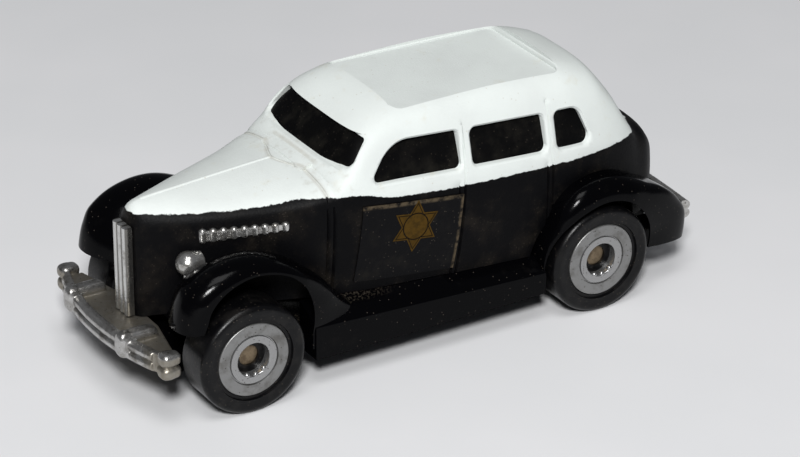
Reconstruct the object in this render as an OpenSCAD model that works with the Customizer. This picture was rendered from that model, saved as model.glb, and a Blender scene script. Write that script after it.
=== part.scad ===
// Miniature free-wheeling saloon car in a patrol finish.
// X points forward, Y to the car's left, Z up. The origin is on the ground,
// in the middle of the car's length and width. Millimetres.

/* [Layout] */
// Distance between the axles
wheelbase = 19.7; // [18.5:0.1:22]
// Front axle to the face of the front bumper
front_overhang = 5.5; // [5.2:0.05:6.4]
// Rear axle to the face of the rear bumper
rear_overhang = 6.55; // [6.45:0.05:7.4]
// Gap between the ground and the base plate
ground_gap = 1.6; // [1.3:0.05:1.9]

/* [Wheels] */
// Diameter of the tyre
wheel_d = 5.6; // [5.2:0.1:6]
// Width of the tyre
tyre_w = 2.3; // [1.8:0.05:2.5]
// Width over the outer faces of the tyres
track_w = 11.88; // [11.6:0.02:12.4]
// Diameter of the silver hub disc
hub_d = 3.76; // [3.2:0.02:4]
// Thickness of the hub disc
hub_t = 0.5; // [0.35:0.05:0.7]
// Diameter of the hole in the hub
hub_hole_d = 1.68; // [1.4:0.02:1.9]
// Depth from the hub's face to the end of the axle
axle_depth = 0.75; // [0.55:0.05:1]
// Diameter of the axle wire
axle_d = 1.04; // [0.8:0.02:1.2]
// Radial running gap of the axle in its bearings
axle_gap = 0.05; // [0.02:0.01:0.1]

/* [Body] */
// Width of the body at the belt line
body_w = 9.6; // [9.2:0.1:10]
// Height of the body's lower edge at the rear
sill_z = 3.3; // [3.1:0.05:3.5]
// Rise of the body's lower edge from the rear to the cowl
sill_rise = 0.8; // [0.5:0.05:1]
// Width of the nose behind the grille
nose_w = 1.3; // [1.1:0.05:1.6]
// Height of the roof
roof_z = 12.85; // [12.3:0.05:13.5]
// Height of the bonnet's ridge at the nose
hood_z = 9.45; // [9.1:0.05:9.8]
// Height of the side windows' lower edge at the middle post
window_z = 9.12; // [8.9:0.02:9.3]
// Height of the side windows
window_h = 1.86; // [1.5:0.02:2]
// Fall of the window line toward the tail, per millimetre
window_fall = 0.063; // [0.04:0.001:0.08]
// Wall of the body shell
shell_t = 0.45; // [0.35:0.05:0.6]
// Depth of the rectangular recess in the roof
roof_recess = 0.25; // [0.1:0.05:0.35]
// Width of the roof recess
roof_recess_w = 6.3; // [5.6:0.1:6.5]
// Depth of the door seams
seam_depth = 0.12; // [0.05:0.01:0.2]
// Number of louvre ribs on each side of the bonnet
louvres = 9; // [6:1:11]

/* [Fenders] */
// Width over the lips of the front fenders
front_fender_w = 11.8; // [11.4:0.1:12.2]
// Width over the lips of the rear fenders
rear_fender_w = 12.4; // [12.2:0.1:12.8]
// Gap from the tyre to the crown of the front wheel opening
front_well_gap = 1.57; // [1.2:0.01:1.8]
// Gap from the tyre to the rear wheel opening
rear_well_gap = 0.45; // [0.35:0.01:0.6]
// Width over the running boards
board_w = 11; // [10.6:0.1:11.4]
// Height of the running board's edge at the front
board_z = 3.39; // [3.2:0.01:3.6]
// Fall of the running board's edge from front to rear
board_fall = 0.56; // [0:0.02:0.8]

/* [Bumpers] */
// Width of the front bumper
bumper_w = 11.2; // [10.4:0.1:11.8]
// Height of the bumper blades
bumper_h = 1; // [0.8:0.05:1.2]
// Height of the blades' lower edge above the ground
bumper_z = 2.9; // [2.6:0.05:3.1]
// Radius that the front bumper is bent to
bumper_bow = 15; // [13:0.5:30]
// Width of the rear bumper
rear_bumper_w = 8.8; // [7:0.1:9]
// Distance between the overriders
overrider_gap = 5.3; // [4:0.1:6.4]

/* [Trim] */
// Width of the grille
grille_w = 1.3; // [1:0.05:1.5]
// Height of the grille
grille_h = 4.6; // [4:0.1:4.8]
// Diameter of a headlamp
lamp_d = 1.2; // [1:0.05:1.35]
// Distance between the headlamps' centres
lamp_track = 5.4; // [5.35:0.05:5.8]
// Width of a door label
label_w = 5.5; // [4.5:0.1:5.8]
// Height of a door label
label_h = 3.9; // [3:0.1:4.2]

/* [Hidden] */

// Places along the car
overall_l = front_overhang + wheelbase + rear_overhang;
front_x = overall_l / 2 - front_overhang;
rear_x = rear_overhang - overall_l / 2;
middle_x = (front_x + rear_x) / 2;
wheel_r = wheel_d / 2;
axle_z = wheel_r;
fit_gap = 0.03;
cut = 0.1;

// Body stations
nose_x = front_x + 3.5;
cowl_x = front_x - 5.25;
screen_x = front_x - 6.15;
b_post_x = middle_x - 2.73;
c_post_x = rear_x + 2.25;
tail_x = rear_x - 5;
belt_y = body_w / 2;
nose_y = nose_w / 2;
cowl_z = hood_z + 0.5;
belt_z = 8.55;
nose_sill_z = sill_z + 0.45;

// Columns of a body row
SILL_Y = 1;
BELT_Y = 2;
SILL_Z = 3;
BELT_Z = 4;
TOP_Z = 5;
CROWN = 6;
SHOULDER = 7;
TUMBLE = 8;

// Body rows from tail to nose: place, half widths, heights, crown and shoulder
// exponents, and how far the side leans in toward the roof
body_rows = [
    [tail_x, belt_y - 2.3, belt_y - 2.1, sill_z + 0.1, belt_z - 2.35, roof_z - 5.55, 3, 3, 0.1],
    [tail_x + 0.6, belt_y - 1.7, belt_y - 1.55, sill_z + 0.1, belt_z - 1.85, roof_z - 4.9, 3, 3.2, 0.15],
    [tail_x + 1.4, belt_y - 1.3, belt_y - 1.2, sill_z + 0.05, belt_z - 1.55, roof_z - 4.55, 3, 3.4, 0.2],
    [tail_x + 2, belt_y - 1.05, belt_y - 0.95, sill_z, belt_z - 0.95, roof_z - 3.7, 3, 4, 0.4],
    [tail_x + 2.9, belt_y - 0.75, belt_y - 0.65, sill_z, belt_z - 0.45, roof_z - 2.15, 3, 5, 0.7],
    [tail_x + 4.3, belt_y - 0.4, belt_y - 0.3, sill_z, belt_z - 0.25, roof_z - 0.68, 3.1, 7, 1],
    [rear_x + 1.35, belt_y - 0.2, belt_y - 0.05, sill_z, belt_z - 0.15, roof_z - 0.2, 3.2, 9, 1.1],
    [middle_x - 4, belt_y - 0.15, belt_y, sill_z + 0.3 * sill_rise, belt_z, roof_z, 3.2, 9, 1.1],
    [screen_x - 3.45, belt_y - 0.2, belt_y - 0.05, sill_z + 0.7 * sill_rise, belt_z + 0.2, roof_z - 0.05, 3.2, 9, 1.1],
    [screen_x - 2.05, belt_y - 0.25, belt_y - 0.1, sill_z + 0.8 * sill_rise, belt_z + 0.3, roof_z - 0.4, 3.3, 8.5, 0.9],
    [screen_x - 0.98, belt_y - 0.3, belt_y - 0.18, sill_z + 0.9 * sill_rise, belt_z + 0.35, roof_z - 1.25, 3.4, 8, 0.6],
    [screen_x, belt_y - 0.4, belt_y - 0.3, sill_z + sill_rise, belt_z + 0.35, cowl_z + 0.35, 3.2, 6, 0.35],
    [cowl_x, belt_y - 0.55, belt_y - 0.45, sill_z + sill_rise, belt_z + 0.25, cowl_z, 1.8, 3.6, 0.2],
    [front_x - 3.15, belt_y - 1.25, belt_y - 1.2, sill_z + sill_rise, belt_z - 0.05, cowl_z - 0.12, 1.4, 2.8, 0.15],
    [front_x + 0.65, nose_y + 1.55, nose_y + 1.55, nose_sill_z + 0.25, belt_z - 0.25, hood_z + 0.15, 1.35, 2.6, 0.1],
    [nose_x - 0.6, nose_y + 0.47, nose_y + 0.47, nose_sill_z + 0.05, belt_z - 0.45, hood_z - 0.02, 1.5, 2.4, 0.05],
    [nose_x - 0.2, nose_y + 0.23, nose_y + 0.23, nose_sill_z, belt_z - 0.65, hood_z - 0.25, 1.7, 2.2, 0],
    [nose_x, nose_y, nose_y, nose_sill_z, belt_z - 0.75, hood_z - 0.65, 2, 2, 0]
];
rings_per_row = 2;
side_steps = 4;
crown_steps = 10;
side_bulge = 0.14;
seam_w = 0.16;
door_seams = [c_post_x + 0.3, b_post_x + 0.67, screen_x + 1.2];
roof_t = 0.8;

// Columns of a fender row
CROWN_R = 1;
CROWN_Y = 2;
LIP_R = 3;
LIP_Y = 4;

front_lip_y = front_fender_w / 2;
rear_lip_y = rear_fender_w / 2;
board_y = board_w / 2;
front_r = wheel_r + front_well_gap;
rear_r = wheel_r + rear_well_gap;
tail_reach = rear_overhang - 0.75;
lip_t = 0.1;

// Fender rows round the axle: angle from straight ahead, crown radius and half
// width, lip radius and half width
front_fender_rows = [
    [22, front_r - 0.52, front_lip_y - 1.3, front_r - 1.12, front_lip_y - 0.1],
    [35, front_r - 0.07, front_lip_y - 1.2, front_r - 1.07, front_lip_y - 0.05],
    [45, front_r + 0.29, front_lip_y - 1.1, front_r - 0.92, front_lip_y - 0.02],
    [55, front_r + 0.59, front_lip_y - 1.05, front_r - 0.53, front_lip_y],
    [72, front_r + 0.66, front_lip_y - 1, front_r - 0.19, front_lip_y],
    [95, front_r + 0.65, front_lip_y - 1, front_r, front_lip_y],
    [115, front_r + 0.56, front_lip_y - 1, front_r - 0.01, front_lip_y],
    [130, front_r + 0.52, front_lip_y - 1, front_r - 0.15, front_lip_y - 0.05],
    [142, front_r + 0.63, front_lip_y - 1, front_r - 0.37, front_lip_y - 0.15],
    [155, front_r + 0.85, front_lip_y - 1, front_r - 0.62, board_y + 0.15],
    [166, front_r + 1.23, board_y - 0.65, front_r - 0.8, board_y + 0.04],
    [178, front_r + 1.93, board_y - 0.75, front_r - 0.92, board_y - 0.08]
];
rear_fender_rows = [
    [0, rear_r - 0.05, board_y - 0.5, rear_r - 0.15, board_y - 0.09],
    [20, rear_r + 0.05, board_y - 0.4, rear_r - 0.12, board_y + 0.1],
    [40, rear_r + 0.25, rear_lip_y - 1, rear_r - 0.1, rear_lip_y - 0.35],
    [58, rear_r + 0.75, rear_lip_y - 0.9, rear_r - 0.05, rear_lip_y - 0.1],
    [75, rear_r + 1, rear_lip_y - 0.8, rear_r, rear_lip_y],
    [95, rear_r + 1.05, rear_lip_y - 0.8, rear_r + 0.05, rear_lip_y],
    [115, rear_r + 1.07, rear_lip_y - 0.85, rear_r + 0.03, rear_lip_y],
    [130, rear_r + 1.17, rear_lip_y - 0.9, rear_r - 0.05, rear_lip_y - 0.1],
    [145, rear_r + 1.6, rear_lip_y - 1.1, rear_r - 0.1, rear_lip_y - 0.25],
    [160, tail_reach - 0.4, rear_lip_y - 1.3, rear_r - 0.1, rear_lip_y - 0.45],
    [173, tail_reach, rear_lip_y - 1.45, rear_r - 0.1, rear_lip_y - 0.65],
    [186, tail_reach, rear_lip_y - 1.6, rear_r - 0.1, rear_lip_y - 0.8]
];
// Columns of a fender set
ROWS = 0;
AXLE_X = 1;
ROOT_Y = 2;
VALLEY = 3;

// Fender sets: rows, axle, inner edge, and how deep the fender falls toward that edge
front_set = [front_fender_rows, front_x, 1, 3.5];
rear_set = [rear_fender_rows, rear_x, 3.2, 0.2];
fender_core_r = 2.5;
fender_t = 0.35;
fender_gap = 0.17;
wheel_gap = 0.2;
fender_steps = 2;
valley_steps = 4;
roll_steps = 6;
cut_steps = 11;
front_foot_z = axle_z + 2.05;

// Chassis levels
deck_z = axle_z + axle_d / 2 + 0.05;
deck_t = 0.55;
well_y = track_w / 2 - tyre_w - 0.4;
base_t = 0.6;
base_y = belt_y - 2 * shell_t;
base_front_x = nose_x - 0.55;
board_front_x = front_x - front_r + 0.57;
base_rear_x = tail_x + 0.35;
block_l = 1.9;
block_y = min(well_y - 0.1, base_y);
rivet_r = 0.5;
rivet_head_r = 0.85;
rivet_head_t = 0.3;
rivet_top_z = deck_z + deck_t + 2.3;
front_rivet_x = front_x - 2.9;
rear_rivet_x = tail_x + 1.25;
post_r = 0.85;

// Bumpers
blade_t = 0.5;
bumper_face_x = front_x + front_overhang;
overrider_r = 0.36;
overrider_rise = 0.38;
ridge_r = 0.3;
end_w = 0.9;
end_l = 1.1;
lump_r = 0.36;
apron_t = 0.5;
apron_z = nose_sill_z - fit_gap - apron_t;
tongue_l = 1.2;
tongue_t = 0.5;
tongue_z = deck_z - fit_gap - tongue_t;
tongue_y = 2;
arm_y = 2.2;
arm_w = 0.8;

// Headlamps
lamp_x = front_x + 1.7;
lamp_z = axle_z + 4.15;
lamp_l = 1.5;
lamp_peg_r = 0.25;
lamp_peg_l = 1.5;

// Hub's setting below the tyre's face
hub_set = 0.1;

// Door stickers
label_steps = 6;
label_lift = 0.02;
label_t = 0.06;
label_x = b_post_x + 3.4;
label_z = 6.3;
label_tilt = 0.11;
label_lean = 0.5;

// Shape-preserving cubic through rows that are ordered by their first column
function slope(t, i, k) = (t[i + 1][k] - t[i][k]) / (t[i + 1][0] - t[i][0]);
function blend_slope(a, b) = a * b <= 0 ? 0 : 2 * a * b / (a + b);
function tangent(t, i, k) =
    i == 0 ? slope(t, 0, k)
    : i == len(t) - 1 ? slope(t, i - 1, k)
    : blend_slope(slope(t, i - 1, k), slope(t, i, k));
function row_before(t, x, i = 0) =
    i >= len(t) - 2 || x <= t[i + 1][0] ? i : row_before(t, x, i + 1);
function along(t, x, k) =
    let (i = row_before(t, x), h = t[i + 1][0] - t[i][0], u = (x - t[i][0]) / h)
    t[i][k] * (1 + 2 * u) * (1 - u) ^ 2 + tangent(t, i, k) * h * u * (1 - u) ^ 2
    + t[i + 1][k] * u ^ 2 * (3 - 2 * u) + tangent(t, i + 1, k) * h * u ^ 2 * (u - 1);
function subdivided(t, n) =
    [for (i = [0 : len(t) - 2]) for (j = [0 : n - 1])
        t[i][0] + (t[i + 1][0] - t[i][0]) * j / n, t[len(t) - 1][0]];

// Half width of the body's side at a height below the belt
function side_y(x, z) =
    let (low = along(body_rows, x, SILL_Z), s = (z - low) / (along(body_rows, x, BELT_Z) - low))
    along(body_rows, x, SILL_Y) * (1 - s) + along(body_rows, x, BELT_Y) * s
    + side_bulge * 4 * s * (1 - s);

// Depth of a door seam at a place, from zero at its edges to its full depth in the middle
function seam(x) = seam_depth * max([for (s = door_seams) max(0, 1 - 2 * abs(x - s) / seam_w)]);

// Upper half of a body section from belt to ridge, inset by a side and a top wall
function half_crown(x, wall, top_wall) =
    let (
        belt = along(body_rows, x, BELT_Z),
        rise = along(body_rows, x, TOP_Z) - top_wall - belt,
        half = along(body_rows, x, BELT_Y) - wall,
        lean = along(body_rows, x, TUMBLE),
        crown = along(body_rows, x, CROWN),
        shoulder = along(body_rows, x, SHOULDER)
    )
    [for (i = [0 : crown_steps])
        let (a = 90 * i / crown_steps, t = sin(a) ^ (2 / shoulder))
        [x, (half - lean * t) * max(cos(a), 0) ^ (2 / crown), belt + rise * t]];

// One half of a body section from sill to ridge
function half_section(x, wall, top_wall, foot) =
    let (
        low = along(body_rows, x, SILL_Z),
        belt = along(body_rows, x, BELT_Z),
        inset = wall > 0 ? wall : seam(x)
    )
    concat(
        foot > 0 ? [[x, side_y(x, low) - wall, low - foot]] : [],
        [for (i = [0 : side_steps - 1])
            let (z = low + (belt - low) * i / side_steps) [x, side_y(x, z) - inset, z]],
        half_crown(x, wall, top_wall)
    );
function ring(half) =
    concat(half, [for (i = [len(half) - 2 : -1 : 0]) [half[i][0], -half[i][1], half[i][2]]]);

// Triangles across a ring of n points, as a strip between points at equal distance from its ends
function strip(n) =
    [for (j = [0 : floor(n / 2) - 1]) let (k = n - 1 - j) each
        j + 1 < k - 1 ? [[j, j + 1, k - 1], [j, k - 1, k]] : j + 1 == k - 1 ? [[j, j + 1, k]] : []];

// Closed solid through rings of equal length, which run counterclockwise seen from the last one
module loft(rings) {
    n = len(rings[0]);
    top = (len(rings) - 1) * n;
    sides = [for (i = [0 : len(rings) - 2]) for (j = [0 : n - 1]) each
        let (a = i * n + j, b = i * n + (j + 1) % n)
        [[a, b + n, b], [a, a + n, b + n]]];
    caps = [for (t = strip(n)) each [t, [top + t[2], top + t[1], top + t[0]]]];
    polyhedron([for (r = rings) each r], concat(sides, caps), convexity = 8);
}

function sorted(v) =
    len(v) < 2 ? v
    : let (p = v[floor(len(v) / 2)])
    concat(sorted([for (x = v) if (x < p) x]), [p], sorted([for (x = v) if (x > p) x]));

// Outer form of the body, with its door seams
module body_form() {
    seam_edges = [for (s = door_seams) each [s - seam_w / 2, s, s + seam_w / 2]];
    loft([for (x = sorted(concat(subdivided(body_rows, rings_per_row), seam_edges)))
        ring(half_section(x, 0, 0, 0))]);
}

// Space inside the shell, open below
module body_cavity() {
    rear = tail_x + shell_t;
    front = nose_x - 4 * shell_t;
    places = concat([rear], [for (r = body_rows) if (r[0] > rear && r[0] < front) r[0]], [front]);
    loft([for (x = places) ring(half_section(x, shell_t, roof_t, sill_z))]);
}

// Radius of a fender's outer face at an angle and a half width inside the crown
function fender_r(f, a, y) =
    let (s = (along(f[ROWS], a, CROWN_Y) - y) / (along(f[ROWS], a, CROWN_Y) - f[ROOT_Y]))
    max(along(f[ROWS], a, CROWN_R) - f[VALLEY] * max(s, 0) ^ 2, fender_core_r);

// Outer and inner face of a fender at an angle, as radius and half width
function fender_outer(f, a) =
    let (
        crown_y = along(f[ROWS], a, CROWN_Y),
        lip_r = along(f[ROWS], a, LIP_R),
        lip_y = along(f[ROWS], a, LIP_Y),
        rise = along(f[ROWS], a, CROWN_R) - lip_r
    )
    concat(
        [for (i = [0 : valley_steps - 1])
            let (y = f[ROOT_Y] + (crown_y - f[ROOT_Y]) * i / valley_steps) [fender_r(f, a, y), y]],
        [for (i = [0 : roll_steps]) let (p = 90 * i / roll_steps)
            [lip_r + rise * cos(p), crown_y + (lip_y - crown_y) * sin(p)]]);
function fender_inner(f, a) =
    let (crown_y = along(f[ROWS], a, CROWN_Y), lip_y = along(f[ROWS], a, LIP_Y))
    [for (p = fender_outer(f, a))
        let (s = max(0, (p[1] - crown_y) / (lip_y - crown_y)), r = p[0] - fender_t * (1 - s ^ 2))
        [p[1] > well_y ? max(r, wheel_r + wheel_gap) : r, p[1] - lip_t * s]];

module fender(f) {
    loft([for (a = subdivided(f[ROWS], fender_steps))
        let (inner = fender_inner(f, a))
        [for (p = concat(fender_outer(f, a), [for (i = [len(inner) - 1 : -1 : 0]) inner[i]]))
            [f[AXLE_X] + p[0] * cos(a), p[1], axle_z + p[0] * sin(a)]]]);
}

// Radius at which a fender's outer face meets the body's side
function meeting_r(f, a, r, tries = 3) =
    tries == 0 ? r
    : meeting_r(f, a, fender_r(f, a, side_y(f[AXLE_X] + r * cos(a), axle_z + r * sin(a))), tries - 1);

// Opening in a body side that clears a fender
module fender_cut(f) {
    first = f[ROWS][0][0];
    last = f[ROWS][len(f[ROWS]) - 1][0];
    arch = [for (i = [0 : cut_steps])
        let (a = first + (last - first) * i / cut_steps, r = meeting_r(f, a, wheel_r + 1) + fender_gap)
        [f[AXLE_X] + r * cos(a), axle_z + r * sin(a)]];
    translate([0, f[ROOT_Y] - fender_gap, 0]) rotate([90, 0, 0]) mirror([0, 0, 1])
        linear_extrude(body_w)
            polygon(concat(arch, [[f[AXLE_X], axle_z - 1]]));
}

module both_sides() {
    children();
    mirror([0, 1, 0]) children();
}

// Front fender without the foot ahead of the wheel and without the tail's part below the body
module front_fender() {
    tail_z = sill_z + sill_rise + 0.15;
    difference() {
        fender(front_set);
        translate([front_x - 2 * wheel_d, -cut, 0])
            cube([2 * wheel_d - wheel_r - 0.3, base_y + 0.55 + cut, tail_z]);
        translate([front_x, well_y - wheel_gap, 0]) cube([2 * wheel_d, front_fender_w, front_foot_z]);
    }
}

function board_edge_z(x) =
    board_z - board_fall * (front_x - 4 - x) / (front_x - rear_x - 7);

// Sill below a body side, with a sloping top that ends in the running board's edge
module running_board() {
    ends = [rear_x + rear_r - 0.2, board_front_x];
    loft([for (x = ends)
        let (
            low = along(body_rows, x, SILL_Z) - fit_gap,
            inner_y = base_y + fit_gap,
            top_y = max(side_y(x, low + 0.1) + 0.02, inner_y + 0.15)
        )
        [[x, board_y, ground_gap], [x, board_y, board_edge_z(x)], [x, top_y, low],
            [x, inner_y, low], [x, inner_y, ground_gap]]]);
}

module rounded(r) {
    offset(r, $fn = 24) offset(delta = -r) children();
}

// Side windows as one outline, in the X Z plane
module side_panes() {
    function lift(x) = window_z + window_fall * (x - b_post_x);
    function low(x) = [x, lift(x)];
    function high(x) = [x, lift(x) + window_h];
    post = 0.32;
    door_front = screen_x - 1.05;
    quarter_rear = c_post_x - 2.45;
    rounded(0.35) polygon([low(door_front), low(b_post_x + post), high(b_post_x + post), high(door_front - 1.5)]);
    rounded(0.3) polygon([low(b_post_x - post), low(c_post_x + post), high(c_post_x + post), high(b_post_x - post)]);
    rounded(0.3) polygon([low(c_post_x - post), low(quarter_rear), high(quarter_rear + 0.7), high(c_post_x - post)]);
}

// Windscreen outline, in the Y Z plane
module screen_pane() {
    low = cowl_z + 0.38;
    high = roof_z - 1.29;
    foot_y = belt_y - 1.03;
    head_y = belt_y - 1.45;
    rounded(0.25) polygon([[-foot_y, low], [foot_y, low], [head_y, high], [-head_y, high]]);
}

module rear_pane() {
    pane_w = 3.4;
    pane_h = 1.35;
    translate([-pane_w / 2, roof_z - 3.1]) rounded(0.35) square([pane_w, pane_h]);
}

module window_cuts() {
    rotate([90, 0, 0]) linear_extrude(body_w + 2, center = true) side_panes();
    translate([screen_x - 3, 0, 0]) rotate([90, 0, 90]) linear_extrude(4) screen_pane();
    translate([tail_x, 0, 0]) rotate([90, 0, 90]) linear_extrude(4.3) rear_pane();
}

module roof_recess_cut() {
    tilt = 1.9;
    front = screen_x - 3.1;
    rear = rear_x + 0.95;
    translate([front, 0, roof_z - 0.12 - roof_recess]) rotate([0, -tilt, 0])
        linear_extrude(2) rounded(0.5)
            translate([rear - front, -roof_recess_w / 2]) square([front - rear, roof_recess_w]);
}

// Raised louvre ribs on the bonnet's sides
module louvre_ribs() {
    first = front_x + 1.1;
    last = front_x - 3.4;
    rib_r = 0.17;
    rib_h = 0.85;
    sunk = 0.03;
    foot_z = belt_z - 0.8;
    for (i = [0 : louvres - 1]) {
        x = first + (last - first) * i / (louvres - 1);
        both_sides() translate([x, side_y(x, foot_z + rib_h / 2) - sunk, foot_z])
            cylinder(r = rib_r, h = rib_h, $fn = 12);
    }
}

module body_posts() {
    foot = deck_z + deck_t + fit_gap;
    for (x = [front_rivet_x, rear_rivet_x]) {
        skin_z = min(along(body_rows, x - post_r, TOP_Z), along(body_rows, x + post_r, TOP_Z));
        translate([x, 0, foot]) cylinder(r = post_r, h = skin_z - roof_t / 2 - foot, $fn = 32);
    }
}

module rivet_holes() {
    for (x = [front_rivet_x, rear_rivet_x])
        translate([x, 0, 0]) cylinder(r = rivet_r + fit_gap, h = rivet_top_z + fit_gap, $fn = 32);
}

module body_shell() color("black")
    difference() {
        union() {
            difference() {
                body_form();
                body_cavity();
            }
            louvre_ribs();
            body_posts();
        }
        window_cuts();
        roof_recess_cut();
        both_sides() {
            fender_cut(front_set);
            fender_cut(rear_set);
        }
        rivet_holes();
    }

// Dark arch behind the windows, from belt to belt
module glazing_insert() color([0.1, 0.1, 0.1]) {
    skin = shell_t + 0.08;
    pane_t = 0.45;
    rear = tail_x + 2.35;
    front = screen_x - 0.1;
    places = concat([rear], [for (r = body_rows) if (r[0] > rear && r[0] < front) r[0]], [front]);
    loft([for (x = places)
        let (
            outer = ring(half_crown(x, skin, roof_t + fit_gap)),
            inner = ring(half_crown(x, skin + pane_t, roof_t + pane_t))
        )
        concat(outer, [for (i = [len(inner) - 1 : -1 : 0]) inner[i]])]);
}

// Deck outline: inside the body's walls, narrow between the wheels, and joined to the boards below the cowl
module deck_outline() {
    front = front_x + 0.6;
    rear = tail_x + 2 * shell_t;
    places = concat([rear], [for (r = body_rows) if (r[0] > rear && r[0] < front) r[0]], [front]);
    half = [for (x = places) [x, min(well_y - 0.15, side_y(x, along(body_rows, x, SILL_Z)) - 2 * shell_t)]];
    polygon(concat(half, [for (i = [len(half) - 1 : -1 : 0]) [half[i][0], -half[i][1]]]));
    bridge_x = screen_x - 0.5;
    bridge_y = base_y + 0.3;
    translate([bridge_x, -bridge_y]) square([board_front_x - 0.15 - bridge_x, 2 * bridge_y]);
}

module fender_unit() color([0.06, 0.06, 0.07])
    difference() {
        union() {
            both_sides() {
                front_fender();
                fender(rear_set);
                running_board();
            }
            translate([0, 0, deck_z]) linear_extrude(deck_t) deck_outline();
        }
        rivet_holes();
        both_sides() {
            lamp_peg(fit_gap);
            lamp_seat();
        }
    }

// Outline of the base plate, narrow between the wheels
module base_outline() {
    board_front = front_x - front_r + 0.6;
    board_rear = rear_x + rear_r + 0.1;
    translate([base_rear_x, -block_y]) square([base_front_x - base_rear_x, 2 * block_y]);
    translate([board_rear, -base_y]) square([board_front - board_rear, 2 * base_y]);
}

module bearing_block(x) {
    translate([x - block_l / 2, -block_y, ground_gap])
        cube([block_l, 2 * block_y, deck_z - fit_gap - ground_gap]);
}

// Blocks that carry the tongue and arms of the bumpers
module bumper_seats() {
    seat_h = tongue_z - fit_gap - ground_gap;
    translate([base_front_x - tongue_l, -tongue_y, ground_gap]) cube([tongue_l, 2 * tongue_y, seat_h]);
    both_sides() translate([base_rear_x, arm_y - arm_w / 2, ground_gap]) cube([tongue_l, arm_w, seat_h]);
}

module base_plate() color([0.07, 0.07, 0.07])
    difference() {
        union() {
            translate([0, 0, ground_gap]) linear_extrude(base_t) base_outline();
            bearing_block(front_x);
            bearing_block(rear_x);
            bumper_seats();
        }
        for (x = [front_x, rear_x])
            translate([x, 0, axle_z]) rotate([90, 0, 0])
                cylinder(d = axle_d + 2 * axle_gap, h = 2 * track_w, center = true, $fn = 48);
        rivet_holes();
        for (x = [front_rivet_x, rear_rivet_x])
            translate([x, 0, ground_gap - cut])
                cylinder(r = rivet_head_r + fit_gap, h = rivet_head_t + cut, $fn = 48);
    }

module chassis_rivets() color("silver")
    for (x = [front_rivet_x, rear_rivet_x])
        translate([x, 0, ground_gap]) {
            cylinder(r = rivet_head_r, h = rivet_head_t, $fn = 48);
            cylinder(r = rivet_r, h = rivet_top_z - ground_gap, $fn = 48);
        }

// Sweeps a section along a wide arc, with its middle at the origin and its face toward +X
module bowed(width, bow) {
    half_angle = asin(width / 2 / bow);
    translate([-bow, 0, 0]) rotate([0, 0, -half_angle])
        rotate_extrude(angle = 2 * half_angle, $fn = 180)
            translate([bow, 0]) children();
}

// Flat strip with two rounded ribs on its face and a groove between them
module blade(width, rib_width, bow) {
    rib = bumper_h / 4;
    bowed(width, bow) translate([-blade_t, 0]) square([blade_t - rib, bumper_h]);
    bowed(rib_width, bow) for (z = [1.1 * rib, 2.9 * rib]) translate([-rib, z]) circle(rib, $fn = 32);
}

// Upright rod with round ends, from its lower end
module capsule(r, height) {
    translate([0, 0, r]) {
        sphere(r, $fn = 32);
        cylinder(r = r, h = height - 2 * r, $fn = 32);
    }
    translate([0, 0, height - r]) sphere(r, $fn = 32);
}

// Two stacked rounded lumps at a blade's end, which wrap round toward the wheel
module end_block() {
    back_r = lump_r - 0.04;
    for (side = [-1, 1])
        translate([-lump_r, end_w / 2, bumper_h / 2 + side * 0.9 * lump_r]) {
            rotate([90, 0, 0]) capsule(lump_r, end_w);
            translate([back_r, -lump_r, 0]) rotate([0, -90, 0]) capsule(back_r, end_l);
        }
}

function blade_x(y) = bumper_face_x - bumper_bow + sqrt(bumper_bow ^ 2 - y ^ 2);

// Plate behind the blade, with a ridge behind each overrider
module apron() {
    reach_y = bumper_w / 2 - end_w;
    ridge_z = bumper_z + bumper_h + overrider_rise - ridge_r - 0.04;
    steps = 8;
    translate([0, 0, apron_z]) linear_extrude(apron_t) polygon(concat(
        [[base_front_x + fit_gap, tongue_y], [base_front_x + fit_gap, -tongue_y], [nose_x + 0.1, -reach_y]],
        [for (i = [0 : steps]) let (y = reach_y * (2 * i / steps - 1)) [blade_x(y) - blade_t / 2 - 0.1, y]],
        [[nose_x + 0.1, reach_y]]));
    both_sides() translate([nose_x + 0.1, overrider_gap / 2, ridge_z]) rotate([0, 90, 0])
        cylinder(r = ridge_r, h = bumper_face_x - overrider_r - nose_x - 0.1, $fn = 32);
}

module front_bumper() color("silver") {
    end_y = (bumper_w - end_w) / 2;
    slot = 0.12;
    translate([bumper_face_x, 0, bumper_z])
        blade(bumper_w - end_w, bumper_w - 2 * (end_w + slot), bumper_bow);
    both_sides() {
        translate([bumper_face_x - overrider_r, overrider_gap / 2, bumper_z - overrider_r / 4])
            capsule(overrider_r, bumper_h + overrider_r / 4 + overrider_rise);
        translate([blade_x(end_y), end_y, bumper_z]) end_block();
    }
    apron();
    translate([base_front_x - tongue_l, -tongue_y, tongue_z])
        cube([bumper_face_x - blade_t - base_front_x + tongue_l, 2 * tongue_y, tongue_t]);
}

module rear_bumper() color("silver") {
    bow = 60;
    face_x = rear_x - rear_overhang;
    translate([face_x, 0, bumper_z]) mirror([1, 0, 0]) blade(rear_bumper_w, rear_bumper_w, bow);
    both_sides() translate([face_x + blade_t / 2, arm_y - arm_w / 2, tongue_z])
        cube([base_rear_x + tongue_l - face_x - blade_t / 2, arm_w, tongue_t]);
}

module grille() color("silver") {
    plate_t = 0.2;
    rib_r = grille_w / 6;
    translate([nose_x + fit_gap, 0, nose_sill_z + fit_gap]) {
        translate([0, -grille_w / 2, 0]) cube([plate_t, grille_w, grille_h]);
        for (i = [-1 : 1])
            translate([plate_t, i * 2 * rib_r, 0]) cylinder(r = rib_r, h = grille_h, $fn = 32);
    }
}

module lamp_peg(gap) {
    translate([lamp_x, lamp_track / 2, lamp_z - lamp_peg_l - gap])
        cylinder(r = lamp_peg_r + gap, h = lamp_peg_l + gap, $fn = 32);
}

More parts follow.
